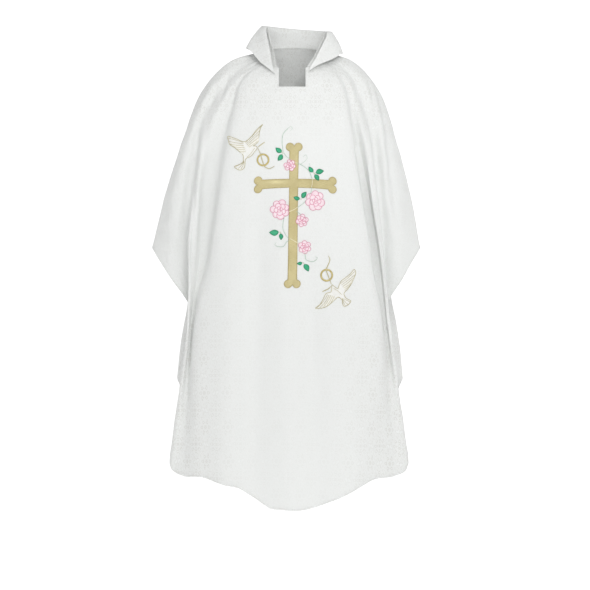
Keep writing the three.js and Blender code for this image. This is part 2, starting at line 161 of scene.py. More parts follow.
def hung_surface(facing, across, down):
    """The panel without its small folds. Over the arm it runs on smoothly into the other panel."""
    own = spline(rail_points(facing), down).transpose(1, 0, 2)
    other = spline(rail_points(-facing), down).transpose(1, 0, 2)
    return spline(own, np.asarray(across) / last_rail, before=other[1], after=other[-2])


def hung_normal(facing, across, down):
    """The hung surface's outward normals."""
    step = 2e-3
    across, down = np.asarray(across, float), np.asarray(down, float)
    run = (hung_surface(facing, np.minimum(across + step, last_rail), down)
           - hung_surface(facing, np.maximum(across - step, 0), down))
    fall = (hung_surface(facing, across, np.minimum(down + step, 1))
            - hung_surface(facing, across, np.maximum(down - step, 0)))
    normal = np.cross(run, fall) * facing
    return normal / np.maximum(np.linalg.norm(normal, axis=-1, keepdims=True), 1e-12)


ripple_draw = np.random.default_rng(11)


def ripples(count, wide, tall, rise):
    """Waves that run across and down the cloth in radians to the metre, each with its start and height."""
    return [(ripple_draw.uniform(*wide) * ripple_draw.choice((-1, 1)), ripple_draw.uniform(*tall),
             ripple_draw.uniform(0, 6.28), rise) for _ in range(count)]


ripple_waves = ripples(14, (16, 60), (4, 16), 0.00042) + ripples(18, (60, 150), (30, 90), 0.00010)


def fold(x, z, path, width, rise, fade=0.10):
    """A fold along a path of (z, x) pairs, from the top down: a ridge if it rises, else a valley."""
    levels, places = zip(*path[::-1])
    centre = np.interp(z, levels, places)
    begun = smooth(levels[-1] + fade * 0.3, levels[-1] - fade, z)
    shown = begun * smooth(levels[0] - fade * 0.3, levels[0] + fade, z)
    return rise * np.exp(-((x - centre) / width) ** 2) * shown


# Each fold: its path down the front view, its half width and rise in metres, and its fade.
front_folds = [
    # lower front: a soft ridge a little left of the centre, a valley on each side of it
    ([(-0.46, -.020), (-0.80, -.018), (-1.50, -.012)], .034, .0085, .30),
    ([(-0.36, -.092), (-0.80, -.096), (-1.50, -.104)], .030, -.0085, .26),
    ([(-0.50, .050), (-0.90, .066), (-1.50, .080)], .032, -.0085, .30),
    ([(-0.70, .150), (-1.50, .186)], .040, .0075, .30),
    ([(-0.62, -.172), (-1.50, -.196)], .036, .0080, .30),
    ([(-0.80, .238), (-1.50, .262)], .026, -.0050, .30),
    ([(-0.86, -.236), (-1.50, -.262)], .026, -.0050, .30),
    # short gathers under the shoulder seam
    ([(-.060, -.180), (-.150, -.204)], .008, -.0045, .03),
    ([(-.075, -.163), (-.190, -.172)], .009, -.0035, .04),
    ([(-.070, -.206), (-.170, -.236)], .008, -.0030, .04),
    ([(-.070, .190), (-.190, .174)], .009, -.0035, .04),
    ([(-.080, .214), (-.140, .228), (-.250, .250)], .007, -.0045, .04),
    ([(-.080, .232), (-.140, .246), (-.240, .268)], .007, -.0040, .04),
    # left side: a ridge along the arm, a sharp pleat, the side fold and the hollow behind the panel
    ([(-.28, -.294), (-.38, -.305), (-.53, -.327), (-.62, -.349)], .013, .0060, .10),
    ([(-.20, -.266), (-.30, -.276), (-.48, -.278), (-.64, -.280)], .007, -.0055, .08),
    ([(-.19, -.249), (-.53, -.267), (-.72, -.276)], .008, .0060, .10),
    ([(-.22, -.234), (-.42, -.240), (-.68, -.262)], .027, -.0130, .12),
    # right side: two hollows and two ridges that fan out down the arm, and a last hollow
    ([(-.18, .177), (-.364, .199), (-.532, .227), (-.70, .247)], .010, -.0085, .10),
    ([(-.18, .211), (-.364, .220), (-.532, .245)], .008, .0045, .10),
    ([(-.18, .236), (-.364, .242), (-.532, .256), (-.65, .269)], .007, -.0020, .08),
    ([(-.18, .247), (-.364, .262), (-.532, .279)], .009, .0050, .10),
    ([(-.18, .258), (-.364, .279), (-.532, .300)], .009, -.0045, .10),
]
back_folds = [
    ([(-0.30, .010), (-1.50, .004)], .036, -.0065, .40),
    ([(-0.42, -.075), (-1.50, -.084)], .030, .0060, .34),
    ([(-0.42, .085), (-1.50, .098)], .032, .0060, .34),
    ([(-0.36, -.140), (-1.50, -.158)], .028, -.0065, .34),
    ([(-0.36, .150), (-1.50, .172)], .028, -.0065, .34),
    ([(-0.60, -.215), (-1.50, -.238)], .030, .0060, .30),
    ([(-0.60, .225), (-1.50, .246)], .030, .0060, .30),
    ([(-.060, -.150), (-.200, -.176)], .010, -.0040, .04),
    ([(-.060, .155), (-.210, .182)], .010, -.0040, .04),
]
# Folds that run down the rails of both sides: the rail's number, half width in rails, and rise.
rail_folds = ((4, .45, -.005), (3, .40, .003), (2, .40, -.006), (1, .50, .003))
sleeve_crease_rise, seam_draw = .0016, .0008
# Where the front hem dips or drops left of the centre: its place, half width and lift in metres.
hem_dips = ((-.150, .030, .010), (-.062, .028, -.009))
back_swell, swell_rail, swell_spread = .023, 3.2, 1.1


def fold_height(facing, across, down, place):
    """How far the folds lift the cloth off the hung surface, in metres."""
    x, z = place[..., 0], place[..., 2]
    rail = np.asarray(across)[:, None]
    level = np.asarray(down)[None, :]
    mirrored = np.minimum(rail, last_rail - rail)
    settled = smooth(.12, .40, level)
    height = np.zeros_like(x)
    for number, width, rise in rail_folds:
        height += rise * np.exp(-((mirrored - number) / width) ** 2) * settled
    for path, width, rise, fade in front_folds if facing < 0 else back_folds:
        height += fold(x, z, path, width, rise, fade)
    # creases across the sleeve above the wrist
    sleeve = smooth(2.0, 1.0, mirrored) * smooth(.38, .55, level) * smooth(1.0, .86, level)
    height += sleeve * sleeve_crease_rise * np.sin(72 * z + 34 * np.abs(x)) * np.sin(23 * z + 1.3 * facing)
    run, fall = (rail - middle_rail) * 0.107, level * panel_length
    quiet = smooth(0, .06, level) * (0.45 + 0.55 * smooth(.30, .75, level))
    for wide, tall, start, rise in ripple_waves:
        height += rise * quiet * np.sin(wide * run + tall * fall + start + facing)
    # the shoulder seam holds the cloth still and draws it in a little
    drawn = seam_draw * np.exp(-(mirrored / .07) ** 2) * smooth(0, .08, level)
    height = height * smooth(0, .35, mirrored) - drawn
    return height * smooth(0, .05, level)


def cloth_at(facing, across, down, lift=0.0):
    """Points of the finished panel, lifted off its middle by so much, and its normals."""
    place = hung_surface(facing, across, down)
    normal = hung_normal(facing, across, down)
    height = fold_height(facing, across, down, place)
    place = place + normal * (height + lift)[..., None]
    if facing < 0:
        x, low = place[..., 0], smooth(.82, 1, np.asarray(down))[None, :]
        place[..., 2] += low * sum(rise * np.exp(-((x - middle) / width) ** 2)
                                   for middle, width, rise in hem_dips)
    else:
        # the back's side folds swell past the front's, then tuck in above the hem
        rail = np.asarray(across)[:, None]
        swell = smooth(-.62, -.84, place[..., 2]) * smooth(-.965, -.925, place[..., 2])
        near = np.exp(-((np.minimum(rail, last_rail - rail) - swell_rail) / swell_spread) ** 2)
        place[..., 0] += np.sign(rail - middle_rail) * back_swell * swell * near
    place[..., 1] = facing * np.maximum(facing * place[..., 1], skin_gap)
    return place, normal


def object_of(name, mesh):
    """An object at the origin that holds the mesh."""
    piece = bpy.data.objects.new(name, mesh)
    bpy.context.scene.collection.objects.link(piece)
    return piece


def lay_flat(mesh, spots):
    """Writes where each vertex lies on the flat cloth, in metres, as the mesh's map."""
    corner = np.zeros(len(mesh.loops), dtype=np.int32)
    mesh.loops.foreach_get("vertex_index", corner)
    layer = mesh.uv_layers.new(name="flat")
    layer.data.foreach_set("uv", spots[corner].astype(np.float32).ravel())


def grid_piece(name, grid, spots, facing):
    """A sheet through a grid of points, with its outer face outwards, and its flat map."""
    wide, tall = grid.shape[:2]
    index = np.arange(wide * tall).reshape(wide, tall)
    quads = np.stack([index[:-1, :-1], index[:-1, 1:], index[1:, 1:], index[1:, :-1]], -1).reshape(-1, 4)
    if facing > 0:
        quads = quads[:, ::-1]
    mesh = bpy.data.meshes.new(name)
    mesh.from_pydata(grid.reshape(-1, 3).tolist(), [], quads.tolist())
    lay_flat(mesh, spots.reshape(-1, 2))
    return object_of(name, mesh)


def settle(piece, crease=math.radians(50)):
    """Applies the piece's modifiers and shades it smooth, with its real edges left crisp."""
    bpy.context.view_layer.update()
    seen = piece.evaluated_get(bpy.context.evaluated_depsgraph_get())
    made = bpy.data.meshes.new_from_object(seen)
    piece.modifiers.clear()
    piece.data = made
    made.shade_smooth()
    made.set_sharp_from_angle(angle=crease)
    return piece


def thicken(piece, thickness):
    """Gives a sheet its thickness, half to each side."""
    wall = piece.modifiers.new("cloth thickness", "SOLIDIFY")
    wall.thickness = thickness
    wall.offset = 0
    return settle(piece)


def flatten(grid, rounds):
    """Lays a hung grid out flat, keeping its lengths, with the centre line straight and upright."""
    column_step = np.linalg.norm(np.diff(grid, axis=0), axis=-1)
    row_step = np.linalg.norm(np.diff(grid, axis=1), axis=-1)
    wide, tall = grid.shape[:2]
    run = np.vstack([np.zeros(tall), np.cumsum(column_step, axis=0)])
    fall = np.hstack([np.zeros((wide, 1)), np.cumsum(row_step, axis=1)])
    middle = wide // 2
    flat = np.stack([run - run[middle], -fall], -1)
    ties = []
    for di, dj in ((1, 0), (0, 1), (1, 1), (1, -1)):
        for odd in (0, 1):
            i = np.arange(odd if di else 0, wide - di, 2 if di else 1)
            j = np.arange(odd if not di else max(0, -dj), tall - max(0, dj), 2 if not di else 1)
            a = (i[:, None], j[None, :])
            b = (i[:, None] + di, j[None, :] + dj)
            ties.append((a, b, np.linalg.norm(grid[b] - grid[a], axis=-1)))
    for _ in range(rounds):
        for a, b, rest in ties:
            gap = flat[b] - flat[a]
            length = np.maximum(np.linalg.norm(gap, axis=-1), 1e-9)
            pull = (0.5 * (length - rest) / length)[..., None] * gap
            flat[a] += pull
            flat[b] -= pull
    line = flat[middle, -1] - flat[middle, 0]
    turn = math.atan2(line[0], -line[1])
    turned = np.array([[math.cos(turn), math.sin(turn)], [-math.sin(turn), math.cos(turn)]])
    return (flat - flat[middle, 0]) @ turned.T


def spaced_columns(facing, count):
    """Rail numbers that lie evenly across the panel, halfway down."""
    fine = np.linspace(0, last_rail, 1401)
    track = hung_surface(facing, fine, [0.5])[:, 0]
    arc = np.concatenate([[0], np.cumsum(np.linalg.norm(np.diff(track, axis=0), axis=-1))])
    return np.interp(np.linspace(0, arc[-1], count), arc, fine)


def flat_map(facing, columns, rows):
    """Where each point of the panel lies on the flat cut, in metres."""
    coarse_columns, coarse_rows = columns[::4], rows[::6]
    flat = flatten(cloth_at(facing, coarse_columns, coarse_rows)[0], 1500)
    wide = np.stack([[np.interp(columns, coarse_columns, flat[:, j, k]) for k in (0, 1)]
                     for j in range(len(coarse_rows))])
    tall = np.stack([[np.interp(rows, coarse_rows, wide[:, k, i]) for k in (0, 1)]
                     for i in range(len(columns))])
    return tall.transpose(0, 2, 1)


panel_rows = np.linspace(0, 1, 241)
panel_columns = {facing: spaced_columns(facing, 185) for facing in (-1, 1)}
panels = {}
for facing, name in ((-1, "front_panel_cloth"), (1, "back_panel_cloth")):
    columns = panel_columns[facing]
    spread_out = flat_map(facing, columns, panel_rows)
    panels[facing] = grid_piece(name, cloth_at(facing, columns, panel_rows)[0], spread_out, facing)



def upright_cut(x):
    return (x, 0, 0), (1, 0, 0)


def level_cut(z):
    return (0, 0, z), (0, 0, 1)


def cut_out(piece, cuts, near, gone):
    """Cuts the faces that are near along each plane in turn, then takes out those that are gone."""
    cloth = bmesh.new()
    cloth.from_mesh(piece.data)
    for point, direction in cuts:
        faces = [face for face in cloth.faces if near(face.calc_center_median())]
        parts = faces + list({e for f in faces for e in f.edges}) + list({v for f in faces for v in f.verts})
        bmesh.ops.bisect_plane(cloth, geom=parts, plane_co=point, plane_no=direction)
    spare = [face for face in cloth.faces if gone(face.calc_center_median())]
    bmesh.ops.delete(cloth, geom=spare, context="FACES")
    cloth.to_mesh(piece.data)
    cloth.free()


def in_slot(centre):
    return abs(centre.x) < slot_half_width and centre.z > slot_foot


cut_out(panels[-1], (upright_cut(slot_half_width), upright_cut(-slot_half_width), level_cut(slot_foot)),
        lambda centre: abs(centre.x) < 0.06 and centre.z > -0.13, in_slot)
thread_ground = BVHTree.FromPolygons([v.co for v in panels[-1].data.vertices],
                                     [p.vertices for p in panels[-1].data.polygons])


class Tone:
    """A shader socket that takes part in plain arithmetic."""

    def __init__(self, tree, socket=None):
        self.tree, self.socket = tree, socket

    def node(self, kind, settings=None, sockets=None, output=0):
        made = self.tree.nodes.new(kind)
        for key, value in (settings or {}).items():
            if key == "stops":
                ramp = made.color_ramp.elements
                while len(ramp) < len(value):
                    ramp.new(0.5)
                for stop, (place, colour) in zip(ramp, value):
                    stop.position, stop.color = place, (*colour, 1)
            else:
                setattr(made, key, value)
        for key, value in (sockets or {}).items():
            if isinstance(value, Tone):
                self.tree.links.new(value.socket, made.inputs[key])
            else:
                made.inputs[key].default_value = value
        return Tone(self.tree, made.outputs[output])

    def maths(self, operation, *values):
        return self.node("ShaderNodeMath", {"operation": operation}, dict(enumerate(values)))

    def __add__(self, other):
        return self.maths("ADD", self, other)

    def __radd__(self, other):
        return self.maths("ADD", other, self)

    def __sub__(self, other):
        return self.maths("SUBTRACT", self, other)

    def __rsub__(self, other):
        return self.maths("SUBTRACT", other, self)

    def __mul__(self, other):
        return self.maths("MULTIPLY", self, other)

    def __rmul__(self, other):
        return self.maths("MULTIPLY", other, self)

    def __truediv__(self, other):
        return self.maths("DIVIDE", self, other)

    def sine(self):
        return self.maths("SINE", self)

    def cosine(self):
        return self.maths("COSINE", self)

    def root(self):
        return self.maths("SQRT", self)

    def size(self):
        """Its value without its sign."""
        return self.maths("ABSOLUTE", self)

    def wrapped(self, low, high):
        return self.maths("WRAP", self, high, low)

    def at_least(self, other):
        return self.maths("MAXIMUM", self, other)

    def at_most(self, other):
        return self.maths("MINIMUM", self, other)

    def step_up(self, low, high):
        """0 below low, 1 above high, smooth between them."""
        return self.node("ShaderNodeMapRange", {"interpolation_type": "SMOOTHSTEP"},
                         {"Value": self, "From Min": low, "From Max": high})

    def blend(self, below, above):
        """One colour or shade where this is 0, and the other where it is 1."""
        return self.node("ShaderNodeMix", {"data_type": "RGBA"}, {0: self, 6: below, 7: above}, 2)

    def split(self):
        return [self.node("ShaderNodeSeparateXYZ", None, {0: self}, k) for k in range(3)]


def linear(colour):
    """An sRGB colour in 0 to 255 as the shader wants it."""
    return tuple((c / 255 / 12.92) if c < 10.3 else ((c / 255 + 0.055) / 1.055) ** 2.4 for c in colour) + (1,)


def new_finish(name, **constants):
    """A material with its constants set, its shader, and a tone to start expressions from."""
    material = bpy.data.materials.new(name)
    material.use_nodes = True
    shader = material.node_tree.nodes["Principled BSDF"]
    for key, value in constants.items():
        shader.inputs[key.replace("_", " ")].default_value = value
    return material, shader, Tone(material.node_tree)


def wire(tone, shader, socket):
    """Feeds a tone to the shader's socket."""
    tone.tree.links.new(tone.socket, shader.inputs[socket])


def raise_by(height, distance, shader):
    """Raises the surface by a height from 0 to 1 times a distance in metres."""
    bump = height.node("ShaderNodeBump", None, {"Strength": 1.0, "Distance": distance, "Height": height})
    wire(bump, shader, "Normal")


def damask_figure(u, v):
    """The woven figure: eight-petalled rosettes and small flowers in an ogee trellis of leaves."""
    across, up = u / damask_repeat[0], v / damask_repeat[1]
    tall = damask_repeat[1] / damask_repeat[0]
    rim_width = 0.06

    def flower(shift, petals, size, scallop, core):
        dx = (across + shift).wrapped(-0.5, 0.5)
        dy = (up + shift).wrapped(-0.5, 0.5) * (tall * 0.8)
        reach = (dx * dx + dy * dy).root()
        turn = dx.maths("ARCTAN2", dy, dx)
        rim = (turn * petals).cosine() * scallop + size
        return (rim - reach).step_up(0, rim_width) * (reach - core).step_up(0, rim_width)

    figure = flower(0, 8, 0.25, 0.06, 0.165).at_least(flower(0, 4, 0.11, 0.05, 0))
    figure = figure.at_least(flower(0.5, 6, 0.20, 0.05, 0.12)).at_least(flower(0.5, 6, 0.075, 0.02, 0))
    x, y = across * (2 * math.pi), up * (2 * math.pi)
    trellis = x.cosine() + y.cosine() + (x * 2).sine() * (y * 2).sine() * 0.45
    line = (0.30 - trellis.size()).step_up(0, 0.12)
    leaves = ((x * 3 + y * 2).sine() * (x * 3 - y * 2).sine()).step_up(-0.35, 0.1)
    curl_across, curl_up = (x * 6 + (y * 3).sine() * 1.4).sine(), (y * 5 + (x * 2).sine() * 1.7).sine()
    curls = (curl_across * curl_up).step_up(0.42, 0.62)
    open_ground = 1 - trellis.size().step_up(0.75, 1.05)
    return figure.at_least(line * leaves).at_least(curls * open_ground * 0.9)


def cloth_finish(name, colour, ground_colour, figured):
    """Polyester damask: a satin figure on a matt ground, or plain lining cloth of the same thread."""
    material, shader, tone = new_finish(name, Sheen_Weight=0.22, Sheen_Roughness=0.45,
                                        Specular_IOR_Level=0.32)
    shader.inputs["Sheen Tint"].default_value = (1, 1, 1, 1)
    flat = tone.node("ShaderNodeUVMap", {"uv_map": "flat"})
    u, v, _ = flat.split()
    warp = (u * (2 * math.pi / warp_pitch)).sine() * (v * (2 * math.pi / warp_pitch)).sine()
    cloudy = tone.node("ShaderNodeTexNoise", {"noise_dimensions": "2D"},
                       {"Vector": flat, "Scale": 9.0, "Detail": 4.0, "Roughness": 0.55})
    drawn_out = tone.node("ShaderNodeVectorMath", {"operation": "MULTIPLY"}, {0: flat, 1: (900.0, 60.0, 0.0)})
    slub = tone.node("ShaderNodeTexNoise", {"noise_dimensions": "2D"},
                     {"Vector": drawn_out, "Scale": 1.0, "Detail": 2.0})
    if figured:
        figure = damask_figure(u, v)
        worn = figure * (0.55 + cloudy * 0.8).at_most(1.0)
        # painted sheen: the figure's colour contrast and darker outline, its gloss and its relief show most
        # at the shoulders and low on both sides, where the light brings the satin figure out
        aside = u.size().step_up(0.10, 0.36) * (0 - v).step_up(0.45, 0.95)
        clear = (aside + (v + 0.20).step_up(0, 0.12) * 0.6 + 0.24).at_most(1.0)
        edge = figure * (1 - figure) * 4
        tint = 0.76 + (worn - 0.3) * clear * 0.16 - edge * clear * 0.70
        wire(tint.blend(ground_colour, colour), shader, "Base Color")
        wire(0.58 - worn * clear * 0.16 + (slub - 0.5) * 0.08, shader, "Roughness")
        raise_by(figure * (0.25 + clear * 0.6) + warp * 0.18 + slub * 0.25, 0.00022, shader)
    else:
        wire((cloudy * 0.6 + slub * 0.4).blend(ground_colour, colour), shader, "Base Color")
        wire(0.70 + (slub - 0.5) * 0.1, shader, "Roughness")
        raise_by(warp * 0.5 + slub, 0.00012, shader)
    return material


def sewn(piece, node, slot):
    """Fixes a piece to the garment, in place of its CAD node if it has one."""
    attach(piece, "root")
    if node:
        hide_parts(node)


def finished(piece, finish, node, slot):
    """Gives a piece its one finish, and fixes it to the garment."""
    piece.data.materials.clear()
    piece.data.materials.append(finish)
    sewn(piece, node, slot)


damask = cloth_finish("white_damask", linear((235, 237, 236)), linear((213, 213, 209)), True)
for facing, node in ((-1, "front_panel"), (1, "back_panel")):
    panel = thicken(panels[facing], cloth_thickness)
    finished(panel, damask, node, "jacquard")

# ---------------------------------------------------------------------------------------------
# Inner strips: a facing of plain lining cloth along each hem, a facing round the neck slot, and
# a stay tape along each shoulder seam. All are sewn flat against the inside of the panels.
# ---------------------------------------------------------------------------------------------
strip_thickness = 0.0005
strip_depth = -(cloth_thickness / 2 + strip_thickness / 2 + 0.0004)
hem_facing_share, hem_facing_end = 0.975, 0.9965  # where the hem facing runs, as shares of the way down
lining = cloth_finish("plain_lining", linear((240, 240, 237)), linear((229, 230, 227)), False)


def own_map(grid):
    """A flat map of a strip from the lengths along its own rows and columns."""
    run = np.cumsum(np.pad(np.linalg.norm(np.diff(grid, axis=0), axis=-1), ((1, 0), (0, 0))), axis=0)
    fall = np.cumsum(np.pad(np.linalg.norm(np.diff(grid, axis=1), axis=-1), ((0, 0), (1, 0))), axis=1)
    return np.stack([run, -fall], -1)


for facing, node in ((-1, "hem_facing_front"), (1, "hem_facing_back")):
    columns = panel_columns[facing][1:-1]
    grid, _ = cloth_at(facing, columns, np.linspace(hem_facing_share, hem_facing_end, 7), strip_depth)
    strip = grid_piece(node + "_strip", grid, own_map(grid), facing)
    finished(thicken(strip, strip_thickness), lining, node, "plain_cloth")

throat_rows = np.linspace(0.004, 0.27, 60)
throat_columns = np.linspace(middle_rail - 2.8, middle_rail + 2.8, 110)
throat, _ = cloth_at(-1, throat_columns, throat_rows, strip_depth)
neck_facing = grid_piece("neck_facing_strip", throat, own_map(throat), -1)
facing_half_width, facing_foot = 0.068, -0.136
facing_cuts = [upright_cut(x) for x in (slot_half_width, -slot_half_width,
                                        facing_half_width, -facing_half_width)]
cut_out(neck_facing, facing_cuts + [level_cut(slot_foot), level_cut(facing_foot)], lambda centre: True,
        lambda centre: abs(centre.x) > facing_half_width or centre.z < facing_foot or in_slot(centre))
finished(thicken(neck_facing, strip_thickness), lining, "neck_facing", "plain_cloth")

for node, low, high in (("shoulder_tape_left", 0.02, 0.25), ("shoulder_tape_right", 13.75, 13.98)):
    grid, _ = cloth_at(-1, np.linspace(low, high, 6), np.linspace(0.15, 0.95, 100), strip_depth)
    tape = grid_piece(node + "_strip", grid, own_map(grid), -1)
    finished(thicken(tape, strip_thickness), lining, node, "plain_cloth")

# ---------------------------------------------------------------------------------------------
# Hems and topstitching. The hem and the sleeve edges are turned in a narrow roll and stitched
# close to the edge; the slot has two rows of stitches round it.
# ---------------------------------------------------------------------------------------------
roll_half_width, roll_half_thickness = 0.0030, 0.00125
seam_inset = 0.0068
thread_lift = 0.0002
# Each kind of stitch: its spacing, length, thread width and slant.
hem_stitch = (0.0042, 0.0030, 0.0007, 0)
top_stitch = (0.0036, 0.0026, 0.0006, 0)


def outward(mesh):
    """Points a closed mesh's faces outwards, and shades it smooth."""
    shell = bmesh.new()
    shell.from_mesh(mesh)
    bmesh.ops.recalc_face_normals(shell, faces=shell.faces)
    shell.to_mesh(mesh)
    shell.free()
    mesh.shade_smooth()


def tube_piece(name, rings):
    """A closed tube through a row of closed rings, with a fan at each end."""
    count, around = rings.shape[:2]
    index = np.arange(count * around).reshape(count, around)
    after = np.roll(index, -1, axis=1)
    quads = np.stack([index[:-1], after[:-1], after[1:], index[1:]], -1).reshape(-1, 4).tolist()
    ends = [rings[0].mean(axis=0).tolist(), rings[-1].mean(axis=0).tolist()]
    foot, tip = count * around, count * around + 1
    for k in range(around):
        quads.append((foot, int(index[0, (k + 1) % around]), int(index[0, k])))
        quads.append((tip, int(index[-1, k]), int(index[-1, (k + 1) % around])))
    mesh = bpy.data.meshes.new(name)
    mesh.from_pydata(rings.reshape(-1, 3).tolist() + ends, [], quads)
    outward(mesh)
    length = np.concatenate([[0], np.cumsum(np.linalg.norm(np.diff(rings[:, 0], axis=0), axis=-1))])
    spots = np.array([(length[i], k * 0.0012) for i in range(count) for k in range(around)]
                     + [(0, 0), (length[-1], 0)])
    lay_flat(mesh, spots)
    return object_of(name, mesh)


def thread_tree():
    """Lays one small plump stitch after another along every line, flat on the cloth."""
    tree = bpy.data.node_groups.new("stitched_line", "GeometryNodeTree")
    tree.is_modifier = True
    tree.interface.new_socket("Lines", in_out="INPUT", socket_type="NodeSocketGeometry")
    for label, start in (("Spacing", 0.002), ("Stitch length", 0.003), ("Thread width", 0.0008),
                         ("Slant", 0.2)):
        tree.interface.new_socket(label, in_out="INPUT", socket_type="NodeSocketFloat").default_value = start
    tree.interface.new_socket("Thread", in_out="INPUT", socket_type="NodeSocketMaterial")
    tree.interface.new_socket("Stitches", in_out="OUTPUT", socket_type="NodeSocketGeometry")
    entry, out = tree.nodes.new("NodeGroupInput"), tree.nodes.new("NodeGroupOutput")
    given = entry.outputs
    line = Tone(tree).node("GeometryNodeMeshToCurve", None, {"Mesh": Tone(tree, given["Lines"])})
    even = line.node("GeometryNodeResampleCurve", {"mode": "LENGTH"},
                     {"Curve": line, "Length": Tone(tree, given["Spacing"])})
    along = line.node("GeometryNodeInputTangent")
    upward = line.node("GeometryNodeInputNamedAttribute", {"data_type": "FLOAT_VECTOR"},
                       {"Name": "cloth_normal"})
    turned = line.node("FunctionNodeAlignRotationToVector", {"axis": "X"}, {"Vector": along})
    upright = line.node("FunctionNodeAlignRotationToVector", {"axis": "Z", "pivot_axis": "X"},
                        {"Rotation": turned, "Vector": upward})
    slanted = line.node("ShaderNodeCombineXYZ", None, {"Z": Tone(tree, given["Slant"])})
    lean = line.node("FunctionNodeEulerToRotation", None, {0: slanted})
    placed = line.node("FunctionNodeRotateRotation", {"rotation_space": "LOCAL"},
                       {"Rotation": upright, "Rotate By": lean})
    bead = line.node("GeometryNodeMeshUVSphere", None, {"Segments": 6, "Rings": 4, "Radius": 0.5})
    width = Tone(tree, given["Thread width"])
    scale = line.node("ShaderNodeCombineXYZ", None,
                      {"X": Tone(tree, given["Stitch length"]), "Y": width, "Z": width * 0.8})
    stitch = line.node("GeometryNodeTransform", None, {"Geometry": bead, "Scale": scale})
    sewn = line.node("GeometryNodeInstanceOnPoints", None,
                     {"Points": even, "Instance": stitch, "Rotation": placed})
    real = line.node("GeometryNodeRealizeInstances", None, {"Geometry": sewn})
    dyed = line.node("GeometryNodeSetMaterial", None,
                     {"Geometry": real, "Material": Tone(tree, given["Thread"])})
    tree.links.new(dyed.socket, out.inputs["Stitches"])
    return tree


stitched_line = thread_tree()


def stitches(name, lines, thread, spacing, length, width, slant):
    """A mesh of stitches along lines, each a row of points and a row of cloth normals."""
    verts, edges, normals = [], [], []
    for points, ups in lines:
        first = len(verts)
        verts += [tuple(p) for p in points]
        normals += [tuple(n) for n in ups]
        edges += [(first + k, first + k + 1) for k in range(len(points) - 1)]
    mesh = bpy.data.meshes.new(name)
    mesh.from_pydata(verts, edges, [])
    field = mesh.attributes.new("cloth_normal", "FLOAT_VECTOR", "POINT")
    field.data.foreach_set("vector", np.array(normals, np.float32).ravel())
    piece = object_of(name, mesh)
    sewing = piece.modifiers.new("stitches", "NODES")
    sewing.node_group = stitched_line
    sockets = {item.name: item.identifier for item in stitched_line.interface.items_tree
               if item.in_out == "INPUT"}
    for label, value in (("Spacing", spacing), ("Stitch length", length), ("Thread width", width),
                         ("Slant", slant), ("Thread", thread)):
        sewing[sockets[label]] = value
    made = settle(piece, math.pi).data
    if "cloth_normal" in made.attributes:
        made.attributes.remove(made.attributes["cloth_normal"])
    made.materials.clear()
    made.materials.append(thread)
    made.polygons.foreach_set("material_index", np.zeros(len(made.polygons), np.int32))
    return piece


def thread_finish(name, colour, shade, roughness=0.42, metallic=0.0):
    """Twisted thread: a soft shine, with darker twists and a little unevenness."""
    material, shader, tone = new_finish(name, Sheen_Weight=0.15, Specular_IOR_Level=0.5)
    shader.inputs["Metallic"].default_value = metallic
    place = tone.node("ShaderNodeTexCoord", None, None, 3)
    patches = tone.node("ShaderNodeTexNoise", None, {"Vector": place, "Scale": 160.0, "Detail": 2.0})
    fibres = tone.node("ShaderNodeTexNoise", None, {"Vector": place, "Scale": 1500.0, "Detail": 1.0})
    twist = (patches * 0.6 + fibres * 0.5).step_up(0.3, 0.75)
    wire(twist.blend(linear(shade), linear(colour)), shader, "Base Color")
    wire(roughness + (fibres - 0.5) * 0.15, shader, "Roughness")
    raise_by(fibres + patches, 0.00008, shader)
    return material


white_thread = thread_finish("white_sewing_thread", (238, 239, 238), (214, 216, 214))
for facing, side in ((-1, "front"), (1, "back")):
    columns = panel_columns[facing]
    edge, normal = cloth_at(facing, columns, [0.99, 1.0])
    above, edge, normal = edge[:, 0], edge[:, 1], normal[:, 1]
    inward = above - edge
    inward /= np.linalg.norm(inward, axis=-1, keepdims=True)
    core = edge + inward * (roll_half_width - 0.0004)
    turns = np.linspace(0, 2 * math.pi, 10, endpoint=False)[None, :, None]
    rings = core[:, None] + inward[:, None] * roll_half_width * np.cos(turns) \
        + normal[:, None] * roll_half_thickness * np.sin(turns)
    roll = tube_piece("hem_roll_" + side, rings[1:-1])
    finished(roll, damask, None, "jacquard")
    on_top = edge + inward * seam_inset + normal * (cloth_thickness / 2 + thread_lift)
    seam = stitches("hem_stitching_" + side, [(on_top[1:-1], normal[1:-1])], white_thread, *hem_stitch)
    finished(seam, white_thread, None, "jacquard")

slot_rows = []
for inset in (0.0022, 0.0075):
    x, foot = slot_half_width + inset, slot_foot - inset
    drop = np.linspace(-neck_front_drop, foot, 20)
    slot_rows.append([(-x, z) for z in drop] + [(t, foot) for t in np.linspace(-x, x, 20)[1:-1]]
                     + [(x, z) for z in drop[::-1]])


def on_cloth(path, lift):
    """Points at a lift over the front panel's outer face, below a path of (x, z) pairs, and its normals."""
    points, ups = [], []
    for (x, z), rise in zip(path, np.broadcast_to(lift, len(path)).tolist()):
        hit, normal, _, _ = thread_ground.ray_cast(Vector((x, -1, z)), Vector((0, 1, 0)))
        if hit is None:
            hit, normal, _, _ = thread_ground.find_nearest(Vector((x, -0.12, z)))
        normal = normal if normal.y < 0 else -normal
        points.append(hit + normal * (cloth_thickness / 2 + rise))
        ups.append(normal)
    return np.array(points), np.array(ups)


slot_sewing = stitches("slot_stitching", [on_cloth(path, thread_lift) for path in slot_rows], white_thread,
                       *top_stitch)
finished(slot_sewing, white_thread, None, "jacquard")

